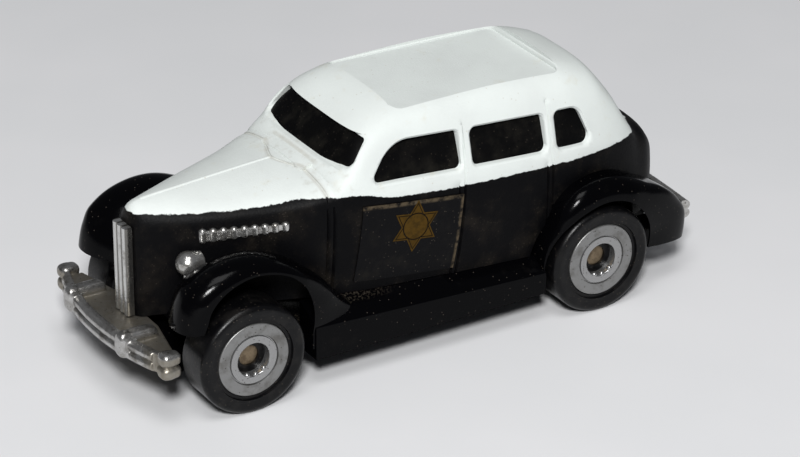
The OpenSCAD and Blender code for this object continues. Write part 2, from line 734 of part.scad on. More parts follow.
// Hollow in a fender's flank that clears the lamp
module lamp_seat() {
    translate([lamp_x, lamp_track / 2, lamp_z]) rotate([0, 90, 0])
        cylinder(d = lamp_d + 2 * fit_gap, h = 2 * lamp_l, center = true, $fn = 32);
}

// Bullet headlamp on a peg in the fender
module headlamp() color("silver") {
    lamp_r = lamp_d / 2;
    face = lamp_r * 0.96;
    waist = [lamp_r * 0.75, lamp_l * 0.45];
    tip = lamp_l - face;
    translate([lamp_x, lamp_track / 2, lamp_z]) rotate([0, -90, 0])
        rotate_extrude($fn = 64) intersection() {
            union() {
                circle(lamp_r, $fn = 64);
                polygon([[0, 0], [lamp_r, 0], waist, [0, tip]]);
            }
            translate([0, -face]) square([lamp_r, lamp_l]);
        }
    lamp_peg(0);
}

module headlamp_left() headlamp();
module headlamp_right() mirror([0, 1, 0]) headlamp();

module axle(x) color("tan")
    translate([x, 0, axle_z]) rotate([90, 0, 0])
        cylinder(d = axle_d, h = track_w - 2 * axle_depth, center = true, $fn = 48);

module front_axle() axle(front_x);
module rear_axle() axle(rear_x);

// Wheel turned about its axis, outer face at Z = 0 and the car's middle toward -Z
module wheel_form() {
    seat_r = hub_d / 2 + fit_gap;
    groove = 0.15;
    shoulder = 0.28;
    step_w = 0.35;
    step_h = 0.3;
    rotate_extrude($fn = 96) difference() {
        union() {
            translate([0, step_w - tyre_w]) square([wheel_r, tyre_w - step_w - shoulder]);
            translate([0, -tyre_w]) square([wheel_r - step_h, tyre_w]);
            translate([wheel_r - shoulder, -shoulder]) circle(shoulder, $fn = 32);
        }
        translate([-1, -hub_t - hub_set]) square([seat_r + 1, hub_t + 1]);
        translate([seat_r - cut, -groove]) square([groove + cut, 1]);
        translate([-1, -tyre_w - 1]) square([1 + axle_d / 2, tyre_w + 2]);
    }
}

// Hub disc with a groove and a hole to the axle's end
module hub_form() {
    groove_r = (hub_d + hub_hole_d) / 4 - 0.09;
    groove_w = 0.08;
    groove_depth = 0.1;
    rotate_extrude($fn = 96) difference() {
        translate([hub_hole_d / 2, -hub_t - hub_set]) square([(hub_d - hub_hole_d) / 2, hub_t]);
        translate([groove_r, -hub_set - groove_depth]) square([groove_w, groove_depth + cut]);
    }
}

module on_wheel(x, side) {
    translate([x, side * track_w / 2, axle_z]) rotate([-90 * side, 0, 0]) children();
}

module wheel(x, side) color([0.12, 0.12, 0.13]) on_wheel(x, side) wheel_form();
module hub(x, side) color("silver") on_wheel(x, side) hub_form();
module wheel_front_left() wheel(front_x, 1);
module wheel_front_right() wheel(front_x, -1);
module wheel_rear_left() wheel(rear_x, 1);
module wheel_rear_right() wheel(rear_x, -1);
module hub_front_left() hub(front_x, 1);
module hub_front_right() hub(front_x, -1);
module hub_rear_left() hub(rear_x, 1);
module hub_rear_right() hub(rear_x, -1);

// Corner or inner point of a sticker, from -0.5 to 0.5 along and up, on the door's curve
function label_spot(u, v, out) =
    let (x = label_x + label_w * u - label_lean * v, z = label_z + label_h * v + label_w * u * label_tilt)
    [x, side_y(x, z) + label_lift + out, z];

module door_label() color([0.09, 0.08, 0.08])
    loft([for (i = [0 : label_steps]) let (u = i / label_steps - 0.5)
        concat(
            [for (j = [0 : label_steps]) label_spot(u, j / label_steps - 0.5, label_t)],
            [for (j = [label_steps : -1 : 0]) label_spot(u, j / label_steps - 0.5, 0)])]);

module door_label_left() door_label();
module door_label_right() mirror([0, 1, 0]) door_label();

body_shell();
glazing_insert();
fender_unit();
base_plate();
chassis_rivets();
front_bumper();
rear_bumper();
grille();
headlamp_left();
headlamp_right();
front_axle();
rear_axle();
wheel_front_left();
wheel_front_right();
wheel_rear_left();
wheel_rear_right();
hub_front_left();
hub_front_right();
hub_rear_left();
hub_rear_right();
door_label_left();
door_label_right();
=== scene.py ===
"""Looks of a thumb-sized toy saloon in a black and white patrol finish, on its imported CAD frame.

Shapes are worked out in millimetres in the CAD frame: X forward, Y to the car's left, Z up.
"""
import math

import bmesh
import bpy
import numpy as np
from mathutils import Matrix, Vector
from mathutils.bvhtree import BVHTree


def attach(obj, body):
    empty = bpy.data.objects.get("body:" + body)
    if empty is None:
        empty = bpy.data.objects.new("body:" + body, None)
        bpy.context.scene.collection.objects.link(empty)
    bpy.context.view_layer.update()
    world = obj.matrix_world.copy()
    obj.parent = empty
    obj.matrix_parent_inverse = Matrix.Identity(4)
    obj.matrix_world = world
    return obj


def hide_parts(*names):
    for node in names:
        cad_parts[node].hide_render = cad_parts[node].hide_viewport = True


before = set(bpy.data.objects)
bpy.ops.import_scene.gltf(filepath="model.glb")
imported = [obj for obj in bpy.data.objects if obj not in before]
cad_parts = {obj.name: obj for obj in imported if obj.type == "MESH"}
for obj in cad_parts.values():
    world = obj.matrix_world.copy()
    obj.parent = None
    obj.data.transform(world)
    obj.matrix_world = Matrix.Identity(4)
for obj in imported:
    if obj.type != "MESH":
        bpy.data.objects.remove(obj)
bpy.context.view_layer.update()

# Sizes that the looks share with the solids
MM = 0.001
FRONT_X = 10.375
REAR_X = -9.325
MIDDLE_X = (FRONT_X + REAR_X) / 2
WHEEL_R = 2.8
AXLE_Z = WHEEL_R
TYRE_W = 2.3
TRACK_W = 11.88
HUB_R = 1.88
HUB_HOLE_R = 0.84
HUB_GROOVE_R = 1.27
HUB_T = 0.5
HUB_SET = 0.1
AXLE_R = 0.52
GROUND_GAP = 1.6
BELT_Y = 4.8
NOSE_Y = 0.65
SILL_Z = 3.3
SILL_RISE = 0.8
ROOF_Z = 12.85
HOOD_Z = 9.45
COWL_Z = HOOD_Z + 0.5
BELT_Z = 8.55
NOSE_SILL_Z = SILL_Z + 0.45
NOSE_X = FRONT_X + 3.5
COWL_X = FRONT_X - 5.25
SCREEN_X = FRONT_X - 6.15
B_POST_X = MIDDLE_X - 2.73
C_POST_X = REAR_X + 2.25
TAIL_X = REAR_X - 5
SIDE_BULGE = 0.14
WINDOW_DEPTH = 0.26
SEAM_DEPTH = 0.14
SEAM_W = 0.16

# Body rows from tail to nose: place, half widths at sill and belt, heights of sill, belt and
# ridge, crown and shoulder exponents, and how far the side leans in toward the roof. The last
# two rows at the screen stand about 0.2 mm farther forward than in the solids.
BODY_ROWS = np.array([
    [TAIL_X, BELT_Y - 2.3, BELT_Y - 2.1, SILL_Z + 0.1, BELT_Z - 2.35, ROOF_Z - 5.55, 3, 3, 0.1],
    [TAIL_X + 0.6, BELT_Y - 1.7, BELT_Y - 1.55, SILL_Z + 0.1, BELT_Z - 1.85, ROOF_Z - 4.9, 3, 3.2, 0.15],
    [TAIL_X + 1.4, BELT_Y - 1.3, BELT_Y - 1.2, SILL_Z + 0.05, BELT_Z - 1.55, ROOF_Z - 4.55, 3, 3.4, 0.2],
    [TAIL_X + 2, BELT_Y - 1.05, BELT_Y - 0.95, SILL_Z, BELT_Z - 0.95, ROOF_Z - 3.7, 3, 4, 0.4],
    [TAIL_X + 2.9, BELT_Y - 0.75, BELT_Y - 0.65, SILL_Z, BELT_Z - 0.45, ROOF_Z - 2.15, 3, 5, 0.7],
    [TAIL_X + 4.3, BELT_Y - 0.4, BELT_Y - 0.3, SILL_Z, BELT_Z - 0.25, ROOF_Z - 0.68, 3.1, 7, 1],
    [REAR_X + 1.35, BELT_Y - 0.2, BELT_Y - 0.05, SILL_Z, BELT_Z - 0.15, ROOF_Z - 0.2, 3.2, 9, 1.1],
    [MIDDLE_X - 4, BELT_Y - 0.15, BELT_Y, SILL_Z + 0.3 * SILL_RISE, BELT_Z, ROOF_Z, 3.2, 9, 1.1],
    [SCREEN_X - 3.45, BELT_Y - 0.2, BELT_Y - 0.05, SILL_Z + 0.7 * SILL_RISE, BELT_Z + 0.2, ROOF_Z - 0.05,
     3.2, 9, 1.1],
    [SCREEN_X - 2.05, BELT_Y - 0.25, BELT_Y - 0.1, SILL_Z + 0.8 * SILL_RISE, BELT_Z + 0.3, ROOF_Z - 0.4,
     3.3, 8.5, 0.9],
    [SCREEN_X - 0.8, BELT_Y - 0.3, BELT_Y - 0.18, SILL_Z + 0.9 * SILL_RISE, BELT_Z + 0.35, ROOF_Z - 1.25,
     3.4, 8, 0.6],
    [SCREEN_X + 0.2, BELT_Y - 0.4, BELT_Y - 0.3, SILL_Z + SILL_RISE, BELT_Z + 0.35, COWL_Z + 0.35,
     3.2, 6, 0.35],
    [COWL_X, BELT_Y - 0.55, BELT_Y - 0.45, SILL_Z + SILL_RISE, BELT_Z + 0.25, COWL_Z, 1.8, 3.6, 0.2],
    [FRONT_X - 3.15, BELT_Y - 1.25, BELT_Y - 1.2, SILL_Z + SILL_RISE, BELT_Z - 0.05, COWL_Z - 0.12,
     1.4, 2.8, 0.15],
    [FRONT_X + 0.65, NOSE_Y + 1.55, NOSE_Y + 1.55, NOSE_SILL_Z + 0.25, BELT_Z - 0.25, HOOD_Z + 0.15,
     1.35, 2.6, 0.1],
    [NOSE_X - 0.6, NOSE_Y + 0.47, NOSE_Y + 0.47, NOSE_SILL_Z + 0.05, BELT_Z - 0.45, HOOD_Z - 0.02,
     1.5, 2.4, 0.05],
    [NOSE_X - 0.2, NOSE_Y + 0.23, NOSE_Y + 0.23, NOSE_SILL_Z, BELT_Z - 0.65, HOOD_Z - 0.25, 1.7, 2.2, 0],
    [NOSE_X, NOSE_Y, NOSE_Y, NOSE_SILL_Z, BELT_Z - 0.75, HOOD_Z - 0.65, 2, 2, 0],
])
ROW_SILL_Y, ROW_BELT_Y, ROW_SILL_Z, ROW_BELT_Z, ROW_TOP_Z, ROW_CROWN, ROW_SHOULDER, ROW_LEAN = range(1, 9)

# Fender rows round the axle: angle from straight ahead, crown radius and half width, lip radius
# and half width
FRONT_LIP_Y = 5.9
REAR_LIP_Y = 6.2
BOARD_Y = 5.5
BOARD_Z = 3.39
BOARD_FALL = 0.56
FRONT_R = WHEEL_R + 1.57
REAR_R = WHEEL_R + 0.45
TAIL_REACH = 5.8
FRONT_FENDER_ROWS = np.array([
    [22, FRONT_R - 0.52, FRONT_LIP_Y - 1.3, FRONT_R - 1.12, FRONT_LIP_Y - 0.1],
    [35, FRONT_R - 0.07, FRONT_LIP_Y - 1.2, FRONT_R - 1.07, FRONT_LIP_Y - 0.05],
    [45, FRONT_R + 0.29, FRONT_LIP_Y - 1.1, FRONT_R - 0.92, FRONT_LIP_Y - 0.02],
    [55, FRONT_R + 0.59, FRONT_LIP_Y - 1.05, FRONT_R - 0.53, FRONT_LIP_Y],
    [72, FRONT_R + 0.66, FRONT_LIP_Y - 1, FRONT_R - 0.19, FRONT_LIP_Y],
    [95, FRONT_R + 0.65, FRONT_LIP_Y - 1, FRONT_R, FRONT_LIP_Y],
    [115, FRONT_R + 0.56, FRONT_LIP_Y - 1, FRONT_R - 0.01, FRONT_LIP_Y],
    [130, FRONT_R + 0.52, FRONT_LIP_Y - 1, FRONT_R - 0.15, FRONT_LIP_Y - 0.05],
    [142, FRONT_R + 0.63, FRONT_LIP_Y - 1, FRONT_R - 0.37, FRONT_LIP_Y - 0.15],
    [155, FRONT_R + 0.85, FRONT_LIP_Y - 1, FRONT_R - 0.62, BOARD_Y + 0.15],
    [166, FRONT_R + 1.3, BOARD_Y - 0.85, FRONT_R - 0.8, BOARD_Y + 0.04],
    [178, FRONT_R + 2.3, BOARD_Y - 1.2, FRONT_R - 0.92, BOARD_Y - 0.08],
    [190, FRONT_R + 2.45, BOARD_Y - 1.2, FRONT_R - 0.9, BOARD_Y - 0.08],
])
REAR_FENDER_ROWS = np.array([
    [0, REAR_R - 0.05, BOARD_Y - 0.5, REAR_R - 0.15, BOARD_Y - 0.09],
    [20, REAR_R + 0.05, BOARD_Y - 0.4, REAR_R - 0.12, BOARD_Y + 0.1],
    [40, REAR_R + 0.25, REAR_LIP_Y - 1, REAR_R - 0.1, REAR_LIP_Y - 0.35],
    [58, REAR_R + 0.75, REAR_LIP_Y - 0.9, REAR_R - 0.05, REAR_LIP_Y - 0.1],
    [75, REAR_R + 1, REAR_LIP_Y - 0.8, REAR_R, REAR_LIP_Y],
    [95, REAR_R + 1.05, REAR_LIP_Y - 0.8, REAR_R + 0.05, REAR_LIP_Y],
    [115, REAR_R + 1.07, REAR_LIP_Y - 0.85, REAR_R + 0.03, REAR_LIP_Y],
    [130, REAR_R + 1.17, REAR_LIP_Y - 0.9, REAR_R - 0.05, REAR_LIP_Y - 0.1],
    [145, REAR_R + 1.6, REAR_LIP_Y - 1.1, REAR_R - 0.1, REAR_LIP_Y - 0.25],
    [160, TAIL_REACH - 0.4, REAR_LIP_Y - 1.3, REAR_R - 0.1, REAR_LIP_Y - 0.45],
    [173, TAIL_REACH, REAR_LIP_Y - 1.45, REAR_R - 0.1, REAR_LIP_Y - 0.65],
    [186, TAIL_REACH, REAR_LIP_Y - 1.6, REAR_R - 0.1, REAR_LIP_Y - 0.8],
])

# Grille and front bumper
GRILLE_PITCH = 1.3 / 3
BUMPER_FACE_X = 15.875
BUMPER_W = 11.2
BUMPER_H = 1.0
BUMPER_Z = 2.9
BUMPER_BOW = 15

# Door labels
LABEL_W = 5.5
LABEL_H = 3.9
LABEL_X = B_POST_X + 3.4
LABEL_Z = 6.3
LABEL_TILT = 0.11
LABEL_LEAN = 0.5
STAR_X = 0.93
STAR_Z = 6.93
STAR_R = 1.36
STAR_TURN = math.radians(8)
RING_R = 0.71
RING_T = 0.06
INK_LIFT = 0.085
LINE_LIFT = 0.092


# Curves through rows

def tangents(rows):
    """Slopes of a shape-preserving cubic through rows ordered by their first column."""
    steps = np.diff(rows[:, 1:], axis=0) / np.diff(rows[:, 0])[:, None]
    a, b = steps[:-1], steps[1:]
    total = np.where(np.abs(a + b) < 1e-12, 1, a + b)
    middle = np.where(a * b > 0, 2 * a * b / total, 0)
    return np.vstack([steps[:1], middle, steps[-1:]])


def along(rows, x):
    """All columns of the rows at x, with x itself first."""
    i = int(np.clip(np.searchsorted(rows[:, 0], x) - 1, 0, len(rows) - 2))
    h = rows[i + 1, 0] - rows[i, 0]
    u = (x - rows[i, 0]) / h
    slopes = tangents(rows)
    value = (rows[i, 1:] * (1 + 2 * u) * (1 - u) ** 2 + slopes[i] * h * u * (1 - u) ** 2
             + rows[i + 1, 1:] * u ** 2 * (3 - 2 * u) + slopes[i + 1] * h * u ** 2 * (u - 1))
    return np.concatenate([[x], value])


def side_y(x, z):
    """Half width of the body's side at a height below the belt."""
    row = along(BODY_ROWS, x)
    s = (z - row[ROW_SILL_Z]) / (row[ROW_BELT_Z] - row[ROW_SILL_Z])
    return row[ROW_SILL_Y] * (1 - s) + row[ROW_BELT_Y] * s + SIDE_BULGE * 4 * s * (1 - s)


def spread(points, count):
    """A polyline's points again, at equal distances along it."""
    points = np.asarray(points)
    reach = np.concatenate([[0], np.cumsum(np.linalg.norm(np.diff(points, axis=0), axis=1))])
    places = np.linspace(0, reach[-1], count)
    return np.column_stack([np.interp(places, reach, points[:, k]) for k in range(points.shape[1])])


# Meshes

def full_turn(count):
    """Angles of a full turn in equal steps."""
    return np.linspace(0, 2 * math.pi, count + 1)[:-1]


def shaded(mesh, degrees):
    """Shades a mesh smooth where its faces meet at less than an angle."""
    mesh.shade_smooth()
    mesh.set_sharp_from_angle(angle=math.radians(degrees))


def mesh_object(name, verts, faces, smooth=50):
    """A mesh from points in millimetres, shaded smooth where its faces meet at less than the angle."""
    mesh = bpy.data.meshes.new(name)
    mesh.from_pydata([tuple(MM * float(c) for c in v) for v in verts], [], faces)
    mesh.update()
    shaded(mesh, smooth)
    obj = bpy.data.objects.new(name, mesh)
    bpy.context.scene.collection.objects.link(obj)
    return obj


def grid_faces(rings, count):
    """Quads between closed rings of equal length."""
    return [(i * count + j, i * count + (j + 1) % count,
             (i + 1) * count + (j + 1) % count, (i + 1) * count + j)
            for i in range(rings - 1) for j in range(count)]


def loft(rings):
    """Points and faces of a closed solid through rings of equal length."""
    count = len(rings[0])
    faces = grid_faces(len(rings), count)
    faces.append(tuple(range(count - 1, -1, -1)))
    top = (len(rings) - 1) * count
    faces.append(tuple(top + j for j in range(count)))
    return [p for ring in rings for p in ring], faces


def joined(parts):
    """Several point and face lists as one."""
    verts, faces = [], []
    for part_verts, part_faces in parts:
        start = len(verts)
        verts.extend(part_verts)
        faces.extend(tuple(start + i for i in f) for f in part_faces)
    return verts, faces


def mirrored(part):
    """A point and face list on the car's other side."""
    verts, faces = part
    return [(v[0], -v[1], v[2]) for v in verts], [tuple(reversed(f)) for f in faces]


def both_sides(part):
    return joined([part, mirrored(part)])


def solid(name, part, smooth=50):
    """An object from closed shells, with all faces looking outward."""
    obj = mesh_object(name, *part, smooth)
    bm = bmesh.new()
    bm.from_mesh(obj.data)
    bmesh.ops.recalc_face_normals(bm, faces=bm.faces)
    bm.to_mesh(obj.data)
    bm.free()
    return obj


def lathe(profile, axle_x, side, segments=128):
    """Turns a profile of radius and depth below the wheel's outer face round an axle."""
    verts = [(axle_x + r * math.cos(a), side * (TRACK_W / 2 + depth), AXLE_Z + r * math.sin(a))
             for a in full_turn(segments) for r, depth in profile]
    faces = [tuple(i % len(verts) for i in face) for face in grid_faces(segments + 1, len(profile))]
    return verts, faces


def rounded(corners, radii, steps=10):
    """A convex outline with its corners rounded, each by its own radius."""
    corners = [Vector(c) for c in corners]
    out = []
    for i, (here, radius) in enumerate(zip(corners, radii)):
        a = (corners[i - 1] - here).normalized()
        b = (corners[(i + 1) % len(corners)] - here).normalized()
        half = a.angle(b) / 2
        centre = here + (a + b).normalized() * radius / math.sin(half)
        start = here + a * radius / math.tan(half) - centre
        turn = start.angle_signed(here + b * radius / math.tan(half) - centre)
        for k in range(steps + 1):
            out.append(centre + Matrix.Rotation(-turn * k / steps, 2) @ start)
    return [tuple(p) for p in out]


def grown(corners, reach):
    """A convex outline with each side moved out."""
    corners = [Vector(c) for c in corners]
    middle = sum(corners, Vector((0, 0))) / len(corners)
    out = []
    for i, here in enumerate(corners):
        sides = []
        for a, b in ((corners[i - 1], here), (here, corners[(i + 1) % len(corners)])):
            normal = (b - a).normalized().orthogonal()
            if normal.dot(a - middle) < 0:
                normal.negate()
            sides.append(normal)
        bisector = (sides[0] + sides[1]).normalized()
        out.append(tuple(here + bisector * reach / bisector.dot(sides[0])))
    return out


def applied(obj):
    """Gives an object the mesh that its modifiers make."""
    bpy.context.view_layer.update()
    mesh = bpy.data.meshes.new_from_object(obj.evaluated_get(bpy.context.evaluated_depsgraph_get()))
    obj.modifiers.clear()
    old = obj.data
    obj.data = mesh
    bpy.data.meshes.remove(old)
    return obj


def carved(obj, cutter):
    """Cuts a mesh with another one, which is then deleted."""
    cut = obj.modifiers.new("cut", "BOOLEAN")
    cut.operation = "DIFFERENCE"
    cut.solver = "EXACT"
    cut.use_self = False
    cut.object = cutter
    applied(obj)
    bpy.data.objects.remove(cutter)


# Materials

class Look:
    """A material whose colour, roughness and relief are built from nodes, with places in millimetres."""

    def __init__(self, name, roughness=0.5, metallic=0.0, specular=0.5):
        self.material = bpy.data.materials.new(name)
        self.material.use_nodes = True
        self.tree = self.material.node_tree
        self.shader = self.tree.nodes["Principled BSDF"]
        self.put(self.shader, {"Roughness": roughness, "Metallic": metallic, "Specular IOR Level": specular})
        metres = self.node("ShaderNodeTexCoord").outputs["Object"]
        scale = self.node("ShaderNodeVectorMath", {0: metres, "Scale": 1 / MM}, operation="SCALE")
        self.place = scale.outputs["Vector"]

    def put(self, node, values):
        """Sets or links a node's inputs, each by its name or number."""
        for key, value in values.items():
            if isinstance(value, bpy.types.NodeSocket):
                self.tree.links.new(value, node.inputs[key])
            else:
                node.inputs[key].default_value = value

    def node(self, kind, values=None, **settings):
        made = self.tree.nodes.new(kind)
        for key, value in settings.items():
            setattr(made, key, value)
        self.put(made, values or {})
        return made

    def noise(self, per_mm, detail=4, roughness=0.6):
        values = {"Vector": self.place, "Scale": per_mm, "Detail": detail, "Roughness": roughness}
        return self.node("ShaderNodeTexNoise", values).outputs["Fac"]

    def math(self, operation, a, b=0.0):
        return self.node("ShaderNodeMath", {0: a, 1: b}, operation=operation).outputs[0]

    def times(self, a, b):
        return self.math("MULTIPLY", a, b)

    def plus(self, a, b):
        return self.math("ADD", a, b)

    def minus(self, a, b):
        return self.math("SUBTRACT", a, b)

    def gap(self, a, b):
        """Distance between two values."""
        return self.math("ABSOLUTE", self.minus(a, b))

    def step(self, value, low, high):
        """Zero below low and one above high, smooth between."""
        values = {"Value": value, "From Min": low, "From Max": high}
        return self.node("ShaderNodeMapRange", values, interpolation_type="SMOOTHSTEP").outputs["Result"]

    def range(self, value, low, high):
        values = {"Value": value, "To Min": low, "To Max": high}
        return self.node("ShaderNodeMapRange", values).outputs["Result"]

    def mix(self, share, a, b):
        first, second = [(*c, 1) if isinstance(c, tuple) else c for c in (a, b)]
        return self.node("ShaderNodeMix", {0: share, 6: first, 7: second}, data_type="RGBA").outputs[2]

    def split(self, vector):
        return self.node("ShaderNodeSeparateXYZ", {0: vector}).outputs

    def axes(self):
        return self.split(self.place)

    def facing_up(self):
        """One on faces that look up, where dust settles."""
        normal = self.node("ShaderNodeNewGeometry").outputs["Normal"]
        return self.step(self.split(normal)["Z"], 0.2, 0.5)

    def specks(self, per_mm, share):
        """One on a few scattered grains."""
        cells = self.node("ShaderNodeTexVoronoi", {"Vector": self.place, "Scale": per_mm}, feature="F1")
        pick = self.node("ShaderNodeSeparateColor", {0: cells.outputs["Color"]})
        chosen = self.math("LESS_THAN", pick.outputs[0], share)
        return self.times(chosen, self.step(cells.outputs["Distance"], 0.45, 0.2))

    def finished(self, base, gloss, height, depth_mm):
        """Sets colour, roughness and relief, and gives the material."""
        bump = self.node("ShaderNodeBump", {"Strength": 1, "Distance": depth_mm * MM, "Height": height})
        self.put(self.shader, {"Base Color": base, "Roughness": gloss, "Normal": bump.outputs["Normal"]})
        return self.material


DUST = (0.12, 0.1, 0.075)
GRIME = (0.05, 0.042, 0.034)


def white_border(look):
    """How far a point is above the edge of the white paint, in millimetres."""
    x, y, z = look.axes()
    rear, front = -16.0, 16.0
    bottom, top = 7.5, 10.0
    ragged = 0.22
    points = [(-15.475, 8.1), (-7.525, 8.12), (-5.175, 8.19), (-1.775, 8.35), (1.635, 8.64),
              (5.425, 9.22), (8.525, 9.0), (11.725, 8.95), (14.125, 9.0), (16.525, 9.0)]
    share = look.node("ShaderNodeMapRange", {"Value": x, "From Min": rear, "From Max": front})
    curve = look.node("ShaderNodeFloatCurve", {"Value": share.outputs["Result"]})
    line = curve.mapping.curves[0]
    for i, (edge_x, edge_z) in enumerate(points):
        place = ((edge_x - rear) / (front - rear), (edge_z - bottom) / (top - bottom))
        if i < 2:
            line.points[i].location = place
        else:
            line.points.new(*place)
    curve.mapping.update()
    edge = look.plus(look.times(curve.outputs[0], top - bottom), bottom)
    wobble = look.times(look.minus(look.noise(3, 4, 0.7), 0.5), ragged)
    return look.plus(look.minus(z, edge), wobble)


def cowl_dirt(look):
    """Dirt in the bonnet's seam, behind the cowl vent and in patches over the cowl."""
    x, y, z = look.axes()
    side = look.math("ABSOLUTE", y)
    seam_x = look.plus(look.times(look.step(side, BONNET_PEAK_Y, 0), BONNET_PEAK), BONNET_SEAM_X)
    in_seam = look.step(look.gap(x, seam_x), 0.2, 0.04)
    behind_vent = look.step(look.gap(x, VENT_REAR_X - 0.08), 0.16, 0.02)
    at_vent = look.times(behind_vent, look.step(side, VENT_HALF + 0.4, VENT_HALF - 0.1))
    lines = look.times(look.math("MAXIMUM", in_seam, at_vent), look.range(look.noise(3, 5), 0.1, 0.9))
    on_cowl = look.step(look.gap(x, COWL_X - 0.2), 1.3, 0.7)
    patches = look.times(on_cowl, look.step(look.noise(2.2, 6), 0.5, 0.75))
    return look.math("MAXIMUM", look.times(lines, 0.6), look.times(patches, 0.3))


def body_paint():
    """White upper part and matt black lower part, both stained and dusty."""
    fresh, aged, stain = (0.62, 0.655, 0.635), (0.585, 0.615, 0.598), (0.55, 0.54, 0.46)
    fleck, dirt = (0.4, 0.35, 0.27), (0.3, 0.26, 0.2)
    clean, dusty = (0.0016, 0.0016, 0.002), (0.016, 0.013, 0.01)
    look = Look("body_paint", specular=0.07)
    white = look.step(white_border(look), -0.02, 0.02)
    fine = look.noise(10, 5)
    paint = look.mix(look.step(look.noise(0.35, 4), 0.35, 0.75), fresh, aged)
    paint = look.mix(look.times(look.step(look.noise(0.9, 6), 0.58, 0.76), 0.45), paint, stain)
    paint = look.mix(look.times(look.specks(9, 0.01), 0.4), paint, fleck)
    paint = look.mix(cowl_dirt(look), paint, dirt)
    dust = look.step(look.noise(0.6, 5), 0.45, 0.75)
    black = look.mix(look.times(dust, look.range(fine, 0.1, 0.9)), clean, dusty)
    black = look.mix(look.times(look.specks(14, 0.15), dust), black, GRIME)
    base = look.mix(white, black, paint)
    gloss = look.range(fine, 0.35, 0.6)
    return look.finished(base, gloss, look.plus(look.times(white, 0.6), look.times(fine, 0.4)), 0.03)


def gloss_black():
    """Glossy black, with dust where the front of the running board meets the body."""
    clean, dusty = (0.0008, 0.0008, 0.0011), (0.01, 0.009, 0.008)
    look = Look("chassis_black", specular=0.08)
    x, y, z = look.axes()
    haze = look.times(look.step(look.noise(0.7, 5), 0.6, 0.85), 0.35)
    at_body = look.step(look.math("ABSOLUTE", y), BELT_Y + 0.12, BELT_Y - 0.08)
    at_door = look.times(look.step(x, 6.4, 5.9), look.step(x, 1.5, 4))
    joint = look.times(look.times(at_body, at_door), look.facing_up())
    settled = look.times(joint, look.step(look.noise(9, 5), 0.48, 0.66))
    base = look.mix(look.times(settled, 0.25), look.mix(haze, clean, dusty), DUST)
    base = look.mix(look.specks(13, 0.02), base, GRIME)
    return look.finished(base, look.range(look.noise(1.5, 4), 0.08, 0.2), look.noise(6, 4), 0.004)


def silver_trim():
    bright, dull = (0.54, 0.535, 0.52), (0.25, 0.235, 0.21)
    look = Look("silver_trim", metallic=0.9)
    worn = look.noise(1.6, 6, 0.7)
    base = look.mix(look.step(worn, 0.42, 0.72), bright, dull)
    base = look.mix(look.specks(9, 0.05), base, GRIME)
    return look.finished(base, look.range(worn, 0.15, 0.36), look.noise(5, 4), 0.02)


def grille_silver():
    """Silver ribs, with painted shade darkening the grooves between them."""
    bright, dull, dirt = (0.6, 0.6, 0.59), (0.32, 0.31, 0.29), (0.16, 0.155, 0.145)
    look = Look("grille_silver", metallic=0.9)
    x, y, z = look.axes()
    groove_shade_wave = look.math("COSINE", look.times(y, 2 * math.pi / GRILLE_PITCH))
    worn = look.noise(2, 6, 0.7)
    base = look.mix(look.step(worn, 0.45, 0.75), bright, dull)
    # Painted shade: the grooves between the ribs take the dark colour named dirt.
    base = look.mix(look.step(groove_shade_wave, -0.1, -0.8), base, dirt)
    return look.finished(base, look.range(worn, 0.15, 0.35), look.noise(6, 4), 0.015)


def dirty_silver():
    """Worn silver with dirt on the apron behind the blade."""
    bright, dull, dirt = (0.46, 0.455, 0.445), (0.17, 0.158, 0.14), (0.24, 0.215, 0.17)
    deck_z = BUMPER_Z + BUMPER_H
    look = Look("dirty_silver", metallic=0.9)
    x, y, z = look.axes()
    worn = look.noise(1.6, 6, 0.7)
    base = look.mix(look.step(worn, 0.42, 0.72), bright, dull)
    low = look.step(z, deck_z + 0.05, deck_z - 0.1)
    behind = look.step(x, BUMPER_FACE_X - 0.55, BUMPER_FACE_X - 0.75)
    soiled = look.times(look.times(low, behind), look.range(look.noise(4, 6), 0.55, 1.0))
    base = look.mix(soiled, base, dirt)
    base = look.mix(look.specks(11, 0.06), base, GRIME)
    gloss = look.plus(look.range(worn, 0.14, 0.34), look.times(soiled, 0.2))
    return look.finished(base, gloss, look.noise(6, 4), 0.02)


def wheel_black():
    clean, dusty = (0.002, 0.002, 0.0024), (0.012, 0.011, 0.0102)
    look = Look("wheel_black", specular=0.2)
    fine = look.noise(9, 5)
    dust = look.times(look.step(look.noise(1.2, 6), 0.45, 0.75), 0.7)
    base = look.mix(look.specks(13, 0.06), look.mix(dust, clean, dusty), GRIME)
    return look.finished(base, look.range(fine, 0.2, 0.42), fine, 0.008)


def hub_foil():
    """Dull foil, brighter and smoother inside the hub's groove."""
    dull, stained, polished = (0.26, 0.26, 0.257), (0.15, 0.146, 0.138), (0.34, 0.34, 0.34)
    look = Look("hub_foil", metallic=0.85)
    x, y, z = look.axes()
    across = look.math("MINIMUM", look.gap(x, FRONT_X), look.gap(x, REAR_X))
    up = look.minus(z, AXLE_Z)
    radius = look.math("SQRT", look.plus(look.times(across, across), look.times(up, up)))
    inside = look.step(radius, HUB_GROOVE_R + 0.02, HUB_GROOVE_R - 0.02)
    fine = look.noise(6, 5)
    base = look.mix(look.step(look.noise(1.5, 5), 0.45, 0.75), dull, stained)
    base = look.mix(inside, base, polished)
    base = look.mix(look.specks(11, 0.06), base, GRIME)
    gloss = look.minus(look.range(fine, 0.34, 0.5), look.times(inside, 0.2))
    return look.finished(base, gloss, fine, 0.012)


def plain_metal(name, colour, dark, roughness):
    look = Look(name, metallic=0.8)
    base = look.mix(look.step(look.noise(3, 5), 0.4, 0.7), colour, dark)
    gloss = look.range(look.noise(6, 3), roughness - 0.08, roughness + 0.12)
    return look.finished(base, gloss, look.noise(9, 4), 0.01)


